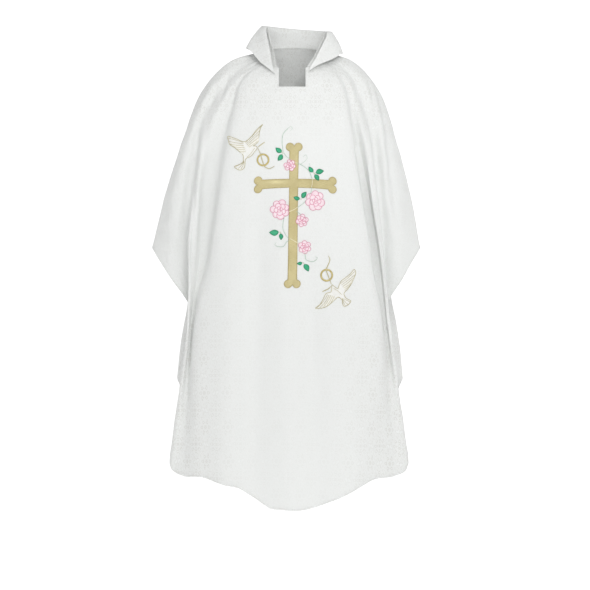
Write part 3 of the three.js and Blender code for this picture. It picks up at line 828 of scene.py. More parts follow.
# ---------------------------------------------------------------------------------------------
# Collar. A stiffened band of damask, interlining and under collar stands on the neck seam, rolls
# over at its rim and falls outside in two broad points; its front ends part above the slot.
# ---------------------------------------------------------------------------------------------
collar_end, rim_end = 150, 121  # degrees from the centre back
collar_stand, collar_flare, collar_fall = 0.066, 0.019, 0.125
roll_radius, fall_rise, fall_turns = 0.0075, 0.005, 0.76
collar_lean, collar_shift = 0.085, 0.013
seam_clearance = 0.0006
rim_dip = 0.008  # the rim is this much lower at its front ends than at the centre back
point_reach, point_place, point_spread = 0.014, 0.74, 0.13
left_drop = 0.012  # the fall's left point hangs this much lower
layer_thickness, layer_step = 0.0010, 0.0013

seam_places = np.linspace(0, last_rail, 3001)
seam_tracks = {facing: (hung_surface(facing, seam_places, [0.0])[:, 0],
                        hung_normal(facing, seam_places, [0.0])[:, 0]) for facing in (-1, 1)}


def neck_seam(degrees):
    """Where the collar is sewn on, just off the panel's outer face."""
    facing = -1 if abs(degrees) > 90 else 1
    track, normals = seam_tracks[facing]
    turn = np.arctan2(track[:, 0], facing * track[:, 1])
    target = math.radians(math.copysign(180 - abs(degrees), degrees) if facing < 0 else degrees)
    place = np.array([np.interp(target, turn, track[:, k]) for k in range(3)])
    normal = np.array([np.interp(target, turn, normals[:, k]) for k in range(3)])
    return place + normal * (cloth_thickness / 2 + seam_clearance)


def round_neck(degrees, wide, forward, backward, height):
    """A point round the neck at a turn from the centre back, on half an oval in front and half behind."""
    turn = math.radians(degrees)
    out = math.cos(turn)
    return np.array([wide * math.sin(turn), out * (backward if out > 0 else forward), height])


def collar_line(part, along):
    """The collar's section at a part of the way round: -1 left front, 0 centre back, 1 right front."""
    end = abs(part)
    seam = neck_seam(collar_end * part)
    rim_height = collar_stand - rim_dip * end ** 3
    rim = round_neck(rim_end * part, neck_half_width + collar_flare, neck_front, neck_back + collar_flare,
                     rim_height)
    falling = max(0, (end - fall_turns) / (1 - fall_turns))
    fall_height = fall_rise - (neck_front_drop + fall_rise) * falling ** 1.15 - left_drop * max(0, -part)
    point = point_reach * math.exp(-((end - point_place) / point_spread) ** 2)
    fall_wide = collar_fall - (collar_fall - neck_half_width - 0.016) * end ** 6 + point
    fall_turn = (rim_end + (collar_end - rim_end) * end ** 3) * part
    fall = round_neck(fall_turn, fall_wide, neck_front + 0.018, neck_back + 0.046, fall_height)
    away = (fall - seam) * (1, 1, 0)
    away /= np.linalg.norm(away)
    inside = rim - away * roll_radius
    inside[2] = rim_height - roll_radius
    outside = rim + away * roll_radius
    outside[2] = rim_height - roll_radius
    slope = (outside + fall) / 2 + away * 0.003
    line = spline(np.array([seam, seam * 0.5 + inside * 0.5, inside, rim, outside, slope, fall]), along)
    height = np.maximum(line[:, 2], -0.07) + 0.06
    from_seam = np.abs(line[:, 2] - seam[2]) + 0.6 * np.linalg.norm(line[:, :2] - seam[:2], axis=1)
    risen = smooth(0, .045, from_seam)
    line[:, 2] -= collar_lean * line[:, 0] * risen
    line[:, 0] += collar_shift * risen * np.clip(height / 0.12, 0, 1)
    wave = 0.0016 * np.sin(9 * part + 1.0) + 0.0012 * np.sin(17 * part + 0.4)
    line += away * (wave * smooth(.5, 1, along))[:, None]
    return line


rounds = np.linspace(-1, 1, 141)
# The rows lie closest where the collar rolls over.
alongs = np.concatenate([np.linspace(0, 0.36, 12)[:-1], np.linspace(0.36, 0.66, 17)[:-1],
                         np.linspace(0.66, 1, 14)])
collar_grid = np.array([collar_line(part, alongs) for part in rounds])
collar_normal = np.cross(np.gradient(collar_grid, axis=0), np.gradient(collar_grid, axis=1))
collar_normal /= np.linalg.norm(collar_normal, axis=-1, keepdims=True)
collar_map = flatten(collar_grid, 1200)
collar_layers = (("under_collar", -1, damask, "jacquard"), ("collar_interlining", 0, lining, "interlining"),
                 ("top_collar", 1, damask, "jacquard"))
for node, level, finish, slot in collar_layers:
    inset = slice(1, -1) if level == 0 else slice(None)
    grid = (collar_grid + collar_normal * level * layer_step)[inset, inset]
    layer = grid_piece(node + "_layer", grid, collar_map[inset, inset], 1)
    finished(thicken(layer, layer_thickness), finish, node, slot)

outer_face = collar_grid + collar_normal * (layer_step + layer_thickness / 2 + thread_lift)
collar_rows = [(outer_face[row], collar_normal[row]) for row in
               ((slice(3, -3), -3), (3, slice(12, -3)), (-4, slice(12, -3)))]
collar_sewing = stitches("collar_stitching", collar_rows, white_thread, *top_stitch)
finished(collar_sewing, white_thread, None, "jacquard")

# ---------------------------------------------------------------------------------------------
# The cross. It is filled with flat gold satin stitches and edged with a raised satin border. All
# of the embroidery is placed from the crossing of its bars, in millimetres to the right and up.
# ---------------------------------------------------------------------------------------------
bar_half, lobe_radius = 11.5, 11
cross_top, cross_foot, cross_left, cross_right = 101, 280, 99, 108
cross_tilt, cross_shift, bar_droop = 0.0144, 0.3, 0.00045
cross_low, cross_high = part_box("cross")
crossing = (cross_low[0] + (cross_left + lobe_radius) / 1000,
            cross_high[2] - (cross_top + lobe_radius) / 1000)
stitch_top, stitch_foot = 0.0002, 0.00008  # a filled motif's lowest face and its underside, off the cloth
cross_lift = 1.25  # millimetres that a motif rises where it lies over the cross
border_stitch = (0.0009, 0.0023, 0.0010, math.radians(82))


def seen_at(points):
    """Millimetres from the crossing, as metres in the front view."""
    return np.asarray(points, float) / 1000 + np.array(crossing)


def even_line(points, step, closed=False):
    """A smooth line through points, in even steps."""
    points = np.asarray(points, float)
    if closed:
        loop = np.concatenate([points, points[:1]])
        dense = spline(loop, np.linspace(0, 1, 40 * len(points)), before=points[-1], after=points[1])
    else:
        dense = spline(points, np.linspace(0, 1, 40 * len(points)))
    arc = np.concatenate([[0], np.cumsum(np.linalg.norm(np.diff(dense, axis=0), axis=1))])
    count = max(3, int(round(arc[-1] / step)) + 1)
    places = np.linspace(0, arc[-1], count)
    line = np.stack([np.interp(places, arc, dense[:, k]) for k in range(2)], -1)
    return line[:-1] if closed else line


def within(outline, spots):
    """Which spots lie inside an outline."""
    x, y = spots[:, 0][:, None], spots[:, 1][:, None]
    a, b = outline, np.roll(outline, -1, axis=0)
    crosses = (a[:, 1] > y) != (b[:, 1] > y)
    rise = np.where(np.abs(b[:, 1] - a[:, 1]) < 1e-12, 1e-12, b[:, 1] - a[:, 1])
    return (crosses & (x < (b[:, 0] - a[:, 0]) * (y - a[:, 1]) / rise + a[:, 0])).sum(axis=1) % 2 == 1


def from_edge(outline, spots):
    """Distance of each spot from an outline."""
    a, b = outline[None], np.roll(outline, -1, axis=0)[None]
    p = spots[:, None]
    along = b - a
    share = np.clip(((p - a) * along).sum(-1) / np.maximum((along * along).sum(-1), 1e-12), 0, 1)
    return np.linalg.norm(p - a - share[..., None] * along, axis=-1).min(axis=1)


def lift_over_cross(spots):
    """How far a motif is lifted to lie over the cross, in millimetres."""
    spots = np.asarray(spots, float)
    depth = np.where(within(cross_line, spots), 1, -1) * from_edge(cross_line, spots)
    return cross_lift * smooth(-1.6, 0.2, depth)


def patch(name, outline, step, height_at, finish, shade_at=None, over_cross=False):
    """A closed raised patch of stitches over an outline on the front panel. Sizes in millimetres."""
    outline = np.asarray(outline, float)
    low, high = outline.min(axis=0), outline.max(axis=0)
    across = np.arange(low[0], high[0], step)
    grid = np.array([(x + (step / 2 if row % 2 else 0), z)
                     for row, z in enumerate(np.arange(low[1], high[1], step * 0.866)) for x in across])
    grid = grid[within(outline, grid)]
    spots = np.concatenate([outline, grid[from_edge(outline, grid) > 0.5 * step]])
    count = len(outline)
    rim = [(k, (k + 1) % count) for k in range(count)]
    made = geometry.delaunay_2d_cdt([Vector(s) for s in spots.tolist()], rim, [], 0, 1e-7)
    flat = np.array([tuple(v) for v in made[0]])
    faces = np.array([f for f in made[2] if len(f) == 3])
    corners = flat[faces]
    faces = faces[within(outline, corners.mean(axis=1))]
    corners = flat[faces]
    turn = np.cross(corners[:, 1] - corners[:, 0], corners[:, 2] - corners[:, 0])
    faces[turn < 0] = faces[turn < 0][:, ::-1]
    depth = from_edge(outline, flat)
    ground, ups = on_cloth(seen_at(flat), 0.0)
    under = lift_over_cross(flat) / 1000 if over_cross else np.zeros(len(flat))
    top = ground + ups * (stitch_top + under + height_at(flat, depth) / 1000)[:, None]
    base = ground + ups * (stitch_foot + under)[:, None]
    sides, number = {}, len(flat)
    for a, b, c in faces.tolist():
        for pair in ((a, b), (b, c), (c, a)):
            if (pair[1], pair[0]) in sides:
                del sides[(pair[1], pair[0])]
            else:
                sides[pair] = True
    walls = [(b, a, a + number, b + number) for a, b in sides]
    every = faces.tolist() + (faces[:, ::-1] + number).tolist() + walls
    mesh = bpy.data.meshes.new(name)
    mesh.from_pydata(np.concatenate([top, base]).tolist(), [], every)
    # Unless the motif gives its own, the shade is painted: the satin's colour darkens towards the rim, where
    # it rolls down to the cloth.
    shade = np.clip(depth / 2.2, 0, 1) if shade_at is None else shade_at(flat, depth)
    field = mesh.attributes.new("shade", "FLOAT", "POINT")
    field.data.foreach_set("value", np.concatenate([shade, shade]).astype(np.float32))
    mesh.shade_smooth()
    mesh.materials.append(finish)
    return object_of(name, mesh)


def joined(name, parts):
    """Several parts of one motif as one piece, each with its own thread."""
    whole, threads = bmesh.new(), []
    shade = whole.verts.layers.float.new("shade")
    for part in parts:
        first, start = len(whole.faces), len(whole.verts)
        whole.from_mesh(part.data)
        whole.faces.ensure_lookup_table()
        whole.verts.ensure_lookup_table()
        thread = part.data.materials[0]
        if thread not in threads:
            threads.append(thread)
        for face in whole.faces[first:]:
            face.material_index = threads.index(thread)
            face.smooth = True
        if "shade" not in part.data.attributes:
            shade = whole.verts.layers.float["shade"]
            for vert in whole.verts[start:]:
                vert[shade] = 1.0
    mesh = bpy.data.meshes.new(name)
    whole.to_mesh(mesh)
    whole.free()
    for thread in threads:
        mesh.materials.append(thread)
    for part in parts:
        bpy.data.objects.remove(part)
    return object_of(name, mesh)


def satin_finish(name, colour, edge_colour, run, metallic=0.0, roughness=0.40, grain=0.55, by_thread=0.55):
    """Satin stitches laid side by side at an angle, a grain of millimetres apart. The two colours mix by the
    thread to one share, and for the rest by the motif's shade attribute: painted shade on the rims of the
    cross, the rose petals and the doves, a painted highlight on the cross's left arm, and a darker rim round
    a lighter middle on the leaves."""
    material, shader, tone = new_finish(name, Sheen_Weight=0.25, Sheen_Roughness=0.35, Specular_IOR_Level=0.5)
    shader.inputs["Metallic"].default_value = metallic
    place = tone.node("ShaderNodeTexCoord", None, None, 3)
    x, y, z = place.split()
    across = x * (math.sin(run) * 1000 / grain) + z * (math.cos(run) * 1000 / grain)
    along = x * math.cos(run) - z * math.sin(run)
    strands = tone.node("ShaderNodeCombineXYZ", None, {"X": across * 0.7, "Y": along * 120.0})
    uneven = tone.node("ShaderNodeTexNoise", {"noise_dimensions": "2D"},
                       {"Vector": strands, "Scale": 1.0, "Detail": 2.0})
    broad = tone.node("ShaderNodeTexNoise", None, {"Vector": place, "Scale": 26.0, "Detail": 1.0})
    ribs = (across * math.pi).sine()
    ribs = ribs * ribs
    # the shade attribute holds each motif's painted shade and highlight, or the leaves' darker rim
    rim = tone.node("ShaderNodeAttribute", {"attribute_name": "shade"}, None, 2)
    mix = (uneven * 0.5 + broad * 0.5).step_up(0.34, 0.66) * by_thread + rim * (1 - by_thread)
    wire(mix.blend(linear(edge_colour), linear(colour)), shader, "Base Color")
    wire(roughness + (uneven - 0.5) * 0.18, shader, "Roughness")
    raise_by(ribs * 0.7 + uneven * 0.6, 0.00022, shader)
    return material


def crossed_outline():
    """Round the cross, anticlockwise from its upper inner corner, with two lobes at each end."""
    outline = []
    ends = ((np.array((0, 1)), cross_top), (np.array((-1, 0)), cross_left),
            (np.array((0, -1)), cross_foot), (np.array((1, 0)), cross_right))
    for forward, reach in ends:
        left = np.array((-forward[1], forward[0]))
        for side in (-1, 1):
            centre = forward * reach + side * left * bar_half
            turns = np.radians(np.arange(4, 268, 11))
            for turn in turns if side < 0 else turns[::-1]:
                spoke = -forward * math.cos(turn) + side * left * math.sin(turn)
                outline.append(centre + lobe_radius * spoke)
        outline.append(left * bar_half + np.array((-left[1], left[0])) * -bar_half)
    corners = []
    for a, b in zip(outline, outline[1:] + outline[:1]):
        count = max(1, round(np.linalg.norm(b - a) / 3))
        corners += [a + (b - a) * k / count for k in range(count)]
    line = np.array(corners)
    # the upright leans a little, and the arms droop towards their ends
    line[:, 0] += cross_tilt * line[:, 1] + cross_shift
    line[:, 1] -= bar_droop * line[:, 0] ** 2 * (np.abs(line[:, 1]) < 30)
    return line


def cross_painted_light(spots, depth):
    """Painted light: a painted highlight on the left arm, a fainter one up the upright, and painted shade
    along the rim.
    """
    x, z = spots[:, 0], spots[:, 1]
    painted_arm_highlight = np.exp(-((x + 48) / 26) ** 2 - ((z - 3.5) / 5) ** 2)
    painted_upright_highlight = 0.25 * np.exp(-((z - 55) / 30) ** 2 - (x / 20) ** 2)
    shine = painted_arm_highlight + painted_upright_highlight
    return np.clip(0.3 + depth / 1.8, 0, 1) * np.clip(0.40 + 0.60 * shine, 0, 1)


# Three quarters of the gold satin's colour follows the cross's painted light: pale gold is painted highlight,
# dark gold is painted shade.
gold_satin = satin_finish("gold_satin", (240, 229, 178), (178, 162, 108), 0.0, 0.18, 0.36, 0.55, 0.25)
gold_edge = thread_finish("gold_edge_thread", (206, 191, 138), (172, 156, 102), 0.38, 0.15)
cross_line = crossed_outline()
cross_fill = patch("cross_fill", cross_line, 2.4, lambda spots, depth: 0.45 + 0.5 * smooth(0, 4.5, depth),
                   gold_satin, cross_painted_light)
border = np.concatenate([cross_line, cross_line[:1]])
cross_edge = stitches("cross_edge", [on_cloth(seen_at(border), 0.0007)], gold_edge, *border_stitch)
sewn(joined("cross_embroidery", [cross_fill, cross_edge]), "cross", "gold_thread")

# ---------------------------------------------------------------------------------------------
# Roses. Each is built of rings of rounded petals in pale pink satin, outlined in deeper pink, the
# inner rings lying over the outer ones.
# ---------------------------------------------------------------------------------------------
petal_stitch = (0.0012, 0.0021, 0.0012, 0.3)
# Each rose's middle, its radius, and the number of its outer petals.
roses = {
    "rose_top": (-10, 50, 16.5, 6),
    "rose_left": (-38, -73, 26.6, 7),
    "rose_right": (60, -48, 26.6, 7),
    "rose_middle": (24, -104, 17, 6),
    "rose_low": (31, -178, 18, 6),
}
# Each ring inside the outer one: its petals, their distance and size as shares of the radius, and height.
inner_rings = ((5, .37, .27, .80), (3, .15, .17, 1.10), (1, 0, .085, 1.30))
rose_satin = satin_finish("rose_satin", (252, 238, 242), (246, 212, 224), 0.9, 0.0, 0.42, 0.5)
rose_line = thread_finish("rose_line_thread", (226, 128, 166), (202, 96, 140))
rose_draw = np.random.default_rng(5)


def round_line(centre, radius, turns):
    return np.stack([centre[0] + radius * np.cos(turns), centre[1] + radius * np.sin(turns)], -1)


for name, (cx, cz, radius, outer_count) in roses.items():
    petals = []
    for count, away, size, level in ((outer_count, .66, .36, .45), *inner_rings):
        first = rose_draw.uniform(0, 6.28)
        for k in range(count):
            turn = first + 2 * math.pi * k / count + rose_draw.uniform(-.16, .16)
            grow = rose_draw.uniform(.86, 1.14)
            petals.append((cx + away * radius * math.cos(turn), cz + away * radius * math.sin(turn),
                           size * radius * grow, level))

    def petal_share(spots, petal):
        return np.hypot(spots[:, 0] - petal[0], spots[:, 1] - petal[1]) / petal[2]

    def rose_height(spots, depth, petals=petals):
        height = np.full(len(spots), 0.35)
        for petal in petals:
            share = petal_share(spots, petal)
            inside = share < 1
            height[inside] = (petal[3] + 0.35 * (1 - share ** 2))[inside]
        return height * smooth(-0.4, 1.2, depth)

    # Painted shade: each petal's satin is pale pink in its middle and deeper pink towards its edge.
    def rose_painted_shade(spots, depth, petals=petals):
        shade = np.zeros(len(spots))
        for petal in petals:
            share = petal_share(spots, petal)
            shade[share < 1] = (1 - share[share < 1] ** 3) * 1.1
        return np.clip(shade, 0, 1)

    outline = []
    for turn in np.linspace(0, 2 * math.pi, 90, endpoint=False):
        reach = 0.5 * radius
        for px, pz, size, _ in petals[:outer_count]:
            dx, dz = px - cx, pz - cz
            away = dx * math.cos(turn) + dz * math.sin(turn)
            across = dz * math.cos(turn) - dx * math.sin(turn)
            if abs(across) < size:
                reach = max(reach, away + math.sqrt(size ** 2 - across ** 2))
        outline.append((cx + reach * math.cos(turn), cz + reach * math.sin(turn)))
    fill = patch(name + "_fill", outline, 1.15, rose_height, rose_satin, rose_painted_shade, True)
    lines = []
    for number, petal in enumerate(petals):
        rim = round_line(petal, petal[2], np.linspace(0, 2 * math.pi, 49))
        hidden = np.zeros(len(rim), bool)
        for above in petals[number + 1:]:
            hidden |= petal_share(rim, above) < 0.99
        runs = np.split(np.arange(len(rim)), np.where(np.diff(hidden.astype(int)) != 0)[0] + 1)
        for run in runs:
            if not hidden[run[0]] and len(run) > 3:
                lift = (0.4 + petal[3] + lift_over_cross(rim[run])) / 1000
                lines.append(on_cloth(seen_at(rim[run]), lift))
    outlines = stitches(name + "_lines", lines, rose_line, *petal_stitch)
    sewn(joined(name + "_embroidery", [fill, outlines]), name, "pink_thread")

# ---------------------------------------------------------------------------------------------
# Leaves. Each spray has two or three almond leaves in dark green satin that meet at a knot on
# the stem on short pale stalks, with a lighter vein down the middle of each.
# ---------------------------------------------------------------------------------------------
stalk_stitch = (0.0011, 0.0020, 0.0011, 0.3)
vein_stitch = (0.0011, 0.0018, 0.0008, 0.2)
leaf_foot, leaf_tip = 0.17, 1.06  # where a leaf starts and ends, as shares of the way from knot to tip
leaf_half_width, leaf_bow = 0.32, 0.05
# Each spray's knot, and then the tips of its leaves.
leaf_sprays = {
    "leaves_top": [(-29, 84), (-49, 98), (-43, 64)],
    "leaves_right": [(57, 28), (43, 45), (83, 34), (69, 8)],
    "leaves_middle": [(21, -45), (1, -39), (35, -25)],
    "leaves_left": [(-36, -136), (-66, -137), (-35, -157)],
    "leaves_low": [(27, -221), (10, -224), (41, -244)],
}
leaf_satin = satin_finish("leaf_satin", (46, 172, 124), (4, 106, 70), 0.6, 0.0, 0.40, 0.5, 0.3)
vein_thread = thread_finish("leaf_vein_thread", (96, 200, 156), (54, 166, 120))
stalk_thread = thread_finish("leaf_stalk_thread", (208, 204, 166), (178, 172, 130))
for name, spray in leaf_sprays.items():
    knot, *tips = np.array(spray, float)
    parts = []
    for tip in tips:
        joint = knot + leaf_foot * (tip - knot)
        stalk = np.linspace(knot, knot + 0.25 * (tip - knot), 7)
        over = on_cloth(seen_at(stalk), (0.5 + lift_over_cross(stalk)) / 1000)
        parts.append(stitches(name, [over], stalk_thread, *stalk_stitch))
        axis = knot + leaf_tip * (tip - knot) - joint
        long = np.linalg.norm(axis)
        side = np.array((-axis[1], axis[0])) / long
        shares = np.linspace(0, 1, 15)
        half = leaf_half_width * long * np.sin(math.pi * shares ** 0.85) ** 0.85
        bow = leaf_bow * long * np.sin(math.pi * shares)
        upper = [joint + axis * s + side * (h + b) for s, h, b in zip(shares, half, bow)]
        lower = [joint + axis * s + side * (b - h) for s, h, b in zip(shares, half, bow)][1:-1]
        outline = np.array(upper + lower[::-1])
        vein = np.array([joint + axis * s + side * leaf_bow * long * math.sin(math.pi * s)
                         for s in np.linspace(-0.02, 0.82, 12)])

        def leaf_height(spots, depth, vein=vein):
            to_vein = np.linalg.norm(spots[:, None] - vein[None], axis=-1).min(axis=1)
            return 0.35 + 0.75 * smooth(0, 3.0, depth) - 0.35 * smooth(1.4, 0.2, to_vein)

        parts.append(patch(name, outline, 1.2, leaf_height, leaf_satin,
                           lambda spots, depth: np.clip(depth / 3.0, 0, 1), True))
        over = on_cloth(seen_at(vein), (1.0 + lift_over_cross(vein)) / 1000)
        parts.append(stitches(name, [over], vein_thread, *vein_stitch))
    sewn(joined(name + "_embroidery", parts), name, "green_thread")

# ---------------------------------------------------------------------------------------------
# The vine. Its stems are worked in slanting stem stitch in pale green, and in gold where it
# crosses over the cross; fine tendrils end in a curl.
# ---------------------------------------------------------------------------------------------
stem_stitch = (0.0012, 0.0030, 0.0016, 0.5)
tendril_stitch = (0.0014, 0.0022, 0.0009, 0.4)
crossing_stitch = (0.0012, 0.0030, 0.0018, 0.5)
stems = {
    "stem_top": [(-15, 154), (-29, 137), (-32, 115), (-29, 88)],
    "stem_upper_left": [(-27, 84), (-20, 75), (-8, 66)],
    "stem_upper_right": [(8, 57), (18, 53), (41, 36), (52, 11)],
    "stem_below_bar": [(50, -8), (50, -20), (44, -34)],
    "stem_middle": [(36, -46), (27, -56), (10, -68)],
    "stem_lower_left": [(-26, -96), (-29, -109), (-29, -129), (-17, -150), (-6, -156)],
    "stem_rose_middle": [(8, -78), (16, -84), (24, -94)],
    "stem_tendril": [(-6, -158), (-18, -162), (-29, -176), (-46, -176)],
    "stem_low": [(31, -192), (32, -200), (35, -213), (55, -218), (63, -213)],
}
vine_crossings = [
    [(-9, 67), (0, 61), (9, 56)], [(52, 12), (52, 0), (50, -10)], [(11, -67), (0, -74), (-12, -79)],
    [(-8, -155), (2, -161), (13, -167)],
]
tendrils = [
    [(-15, 154), (-8, 158), (-3, 153), (-7, 148)], [(18, 53), (30, 60), (38, 72), (33, 79), (27, 73)],
    [(41, 36), (46, 44), (44, 55)], [(-46, -176), (-52, -171), (-49, -165)],
    [(63, -213), (66, -207), (61, -205)],
]
stem_thread = thread_finish("stem_thread", (200, 216, 203), (164, 189, 171))
vine_gold = thread_finish("vine_gold_thread", (243, 236, 208), (226, 216, 178), 0.38, 0.1)
for name, points in stems.items():
    line = on_cloth(seen_at(even_line(points, 1.0)), 0.0005)
    sewn(stitches(name + "_stitches", [line], stem_thread, *stem_stitch), name, "pale_thread")
curls = [on_cloth(seen_at(even_line(points, 0.8)), 0.0004) for points in tendrils]
sewn(stitches("tendril_stitches", curls, stem_thread, *tendril_stitch), None, "pale_thread")
gold_lines = [on_cloth(seen_at(even_line(points, 1.0)), 0.0016) for points in vine_crossings]
sewn(stitches("vine_over_cross", gold_lines, vine_gold, *crossing_stitch), None, "gold_thread")

# ---------------------------------------------------------------------------------------------
# Doves. Each is filled with cream satin and outlined in old-gold stem stitch, with a fine line
# for every feather of the wings and the tail and warmer satin in the shadow of the wings.
# ---------------------------------------------------------------------------------------------
outline_stitch = (0.0012, 0.0025, 0.0016, 0.4)
feather_stitch = (0.0012, 0.0021, 0.0012, 0.3)
dove_outlines = {
    "dove_upper": [(-101, 99), (-109, 87), (-118, 76), (-133, 68), (-135, 56), (-137, 44), (-143, 38),
                   (-150, 37), (-158, 40), (-165, 46), (-152, 52), (-141, 57), (-140, 68), (-141, 79),
                   (-153, 90), (-164, 99), (-178, 109), (-181, 120), (-183, 131), (-160, 124), (-137, 116),
                   (-118, 130), (-104, 148), (-86, 164), (-92, 154), (-95, 144), (-97, 126), (-99, 115),
                   (-112, 104), (-106, 104)],
    "dove_lower": [(107, -283), (114, -288), (123, -293), (127, -283), (131, -274), (147, -261), (158, -252),
                   (169, -240), (173, -249), (168, -264), (162, -278), (151, -294), (140, -307), (146, -320),
                   (153, -324), (159, -328), (155, -335), (147, -341), (140, -342), (136, -333), (135, -325),
                   (124, -317), (118, -321), (104, -334), (90, -344), (75, -348), (61, -348), (73, -338),
                   (81, -325), (91, -307), (104, -302), (106, -292)],
}
dove_feathers = {
    "dove_upper": [
        ((-141, 114), (-163, 121), (-181, 126)), ((-140, 110), (-161, 113), (-180, 117)),
        ((-139, 105), (-158, 106), (-177, 109)), ((-137, 100), (-153, 100), (-169, 102)),
        ((-135, 95), (-147, 94), (-160, 96)), ((-133, 90), (-141, 88), (-151, 88)),
        ((-134, 113), (-113, 134), (-91, 158)), ((-131, 110), (-113, 128), (-93, 148)),
        ((-129, 107), (-113, 122), (-96, 138)), ((-126, 104), (-113, 115), (-97, 127)),
        ((-123, 101), (-112, 109), (-99, 117)),
        ((-139, 62), (-149, 53), (-161, 47)), ((-138, 60), (-145, 50), (-154, 41)),
        ((-137, 59), (-141, 49), (-146, 40)),
        ((-128, 74), (-118, 84), (-109, 97))],
    "dove_lower": [
        ((131, -279), (148, -266), (170, -246)), ((134, -283), (150, -271), (171, -255)),
        ((137, -287), (151, -277), (168, -263)), ((140, -291), (152, -284), (165, -270)),
        ((143, -295), (152, -289), (160, -279)),
        ((94, -311), (83, -329), (66, -346)), ((98, -312), (88, -331), (74, -346)),
        ((103, -313), (95, -329), (84, -344)), ((108, -314), (102, -327), (94, -340)),
        ((113, -315), (109, -324), (104, -332)),
        ((136, -321), (146, -325), (157, -331)), ((135, -322), (143, -330), (151, -338)),
        ((134, -323), (139, -332), (143, -340)), ((112, -293), (123, -300), (134, -310))],
}
wing_shadows = {
    "dove_upper": [[(-141, 106), (-160, 108), (-177, 112), (-165, 101), (-153, 91), (-142, 81), (-137, 92)],
                   [(-128, 104), (-112, 118), (-97, 132), (-98, 117), (-112, 105), (-122, 99)]],
    "dove_lower": [[(138, -288), (151, -278), (168, -263), (162, -277), (151, -292), (143, -299)],
                   [(100, -313), (92, -330), (80, -345), (92, -342), (104, -333), (116, -320)]],
}
dove_satin = satin_finish("dove_satin", (246, 246, 243), (238, 237, 230), 1.1, 0.0, 0.38, 0.5)
wing_satin = satin_finish("wing_satin", (246, 245, 239), (238, 236, 224), 0.4, 0.0, 0.38, 0.5)
dove_line = thread_finish("dove_line_thread", (202, 194, 154), (168, 159, 116), 0.42, 0.05)
for name, outline in dove_outlines.items():
    line = even_line(outline, 1.6, closed=True)
    body = patch(name, line, 1.8, lambda spots, depth: 0.30 + 0.55 * smooth(0, 4, depth), dove_satin)
    shadows = [patch(name, even_line(area, 1.6, closed=True), 1.6,
                     lambda spots, depth: 1.02 + 0.2 * smooth(0, 2, depth), wing_satin)
               for area in wing_shadows[name]]
    rim = on_cloth(seen_at(np.concatenate([line, line[:1]])), 0.0007)
    quills = [on_cloth(seen_at(even_line(feather, 1.0)), 0.0014) for feather in dove_feathers[name]]
    outer = stitches(name, [rim], dove_line, *outline_stitch)
    inner = stitches(name, quills, dove_line, *feather_stitch)
    sewn(joined(name + "_embroidery", [body, *shadows, outer, inner]), name, "beige_thread")

# ---------------------------------------------------------------------------------------------
# Rings and ribbons. A padded satin ring hangs on a ribbon from each dove's beak; the ribbon runs
# through the ring and curls at its end.
# ---------------------------------------------------------------------------------------------
ring_middle, ring_half_band = 15.4, 2.2
ring_lift, ring_half_height = 0.0008, 0.0007
ribbon_lift, ribbon_half_width, ribbon_half_height = 0.0010, 0.0013, 0.0005
end_lift, end_half_width = 0.0007, 0.0014
rim_stitch = (0.0012, 0.0020, 0.0008, 0.3)
# Each ring's middle, and the path of its ribbon.
rings = {
    "ring_upper": ((-85, 65), [(-99, 97), (-92, 81), (-86, 60), (-80, 46), (-66, 41), (-53, 48)]),
    "ring_lower": ((92, -256), [(97, -202), (101, -213), (95, -230), (91, -240), (98, -262), (105, -281)]),
}
ribbon_ends = {
    "twig_upper": [(-99, 101), (-90, 108), (-80, 115)],
    "ribbon_end_lower": [(104, -287), (98, -293), (80, -302)],
}


def padded_line(name, path, lift, half_width, half_height, finish, closed):
    """A raised line of satin with an oval section, tapered at its ends unless it is closed."""
    around = 12
    points, ups = on_cloth(seen_at(path), lift)
    if closed:
        ahead = np.roll(points, -1, axis=0) - np.roll(points, 1, axis=0)
    else:
        ahead = np.gradient(points, axis=0)
    ahead /= np.linalg.norm(ahead, axis=1, keepdims=True)
    side = np.cross(ups, ahead)
    share = np.linspace(0, 1, len(points))
    taper = np.ones(len(points)) if closed else 0.35 + 0.65 * np.sin(math.pi * share) ** 0.5
    turns = np.linspace(0, 2 * math.pi, around, endpoint=False)[None, :, None]
    loops = points[:, None] + side[:, None] * np.cos(turns) * (half_width * taper)[:, None, None] \
        + ups[:, None] * np.sin(turns) * half_height
    count = len(points)
    index = np.arange(count * around).reshape(count, around)
    quads = np.stack([index, np.roll(index, -1, axis=1), np.roll(index, (-1, -1), axis=(0, 1)),
                      np.roll(index, -1, axis=0)], -1)
    if closed:
        faces = quads.reshape(-1, 4).tolist()
    else:
        faces = quads[:-1].reshape(-1, 4).tolist() + [index[0, ::-1].tolist(), index[-1].tolist()]
    mesh = bpy.data.meshes.new(name)
    mesh.from_pydata(loops.reshape(-1, 3).tolist(), [], faces)
    outward(mesh)
    mesh.materials.append(finish)
    return object_of(name, mesh)


ring_thread = thread_finish("ring_thread", (204, 188, 128), (168, 150, 92), 0.36, 0.18)
for name, (centre, ribbon) in rings.items():
    turns = np.linspace(0, 2 * math.pi, 72, endpoint=False)
    band = padded_line(name, round_line(centre, ring_middle, turns), ring_lift, ring_half_band / 1000,
                       ring_half_height, ring_thread, True)
    strand = padded_line(name, even_line(ribbon, 1.5), ribbon_lift, ribbon_half_width, ribbon_half_height,
                         dove_line, False)
    rims = []
    for radius in (ring_middle - ring_half_band, ring_middle + ring_half_band):
        spots = round_line(centre, radius, turns)
        rims.append(on_cloth(seen_at(np.concatenate([spots, spots[:1]])), 0.0005))
    rim = stitches(name, rims, dove_line, *rim_stitch)
    sewn(joined(name + "_embroidery", [band, strand, rim]), name, "beige_thread")
for name, points in ribbon_ends.items():
    strand = padded_line(name, even_line(points, 1.5), end_lift, end_half_width, ribbon_half_height,
                         dove_line, False)
    sewn(joined(name + "_embroidery", [strand]), name, "beige_thread")

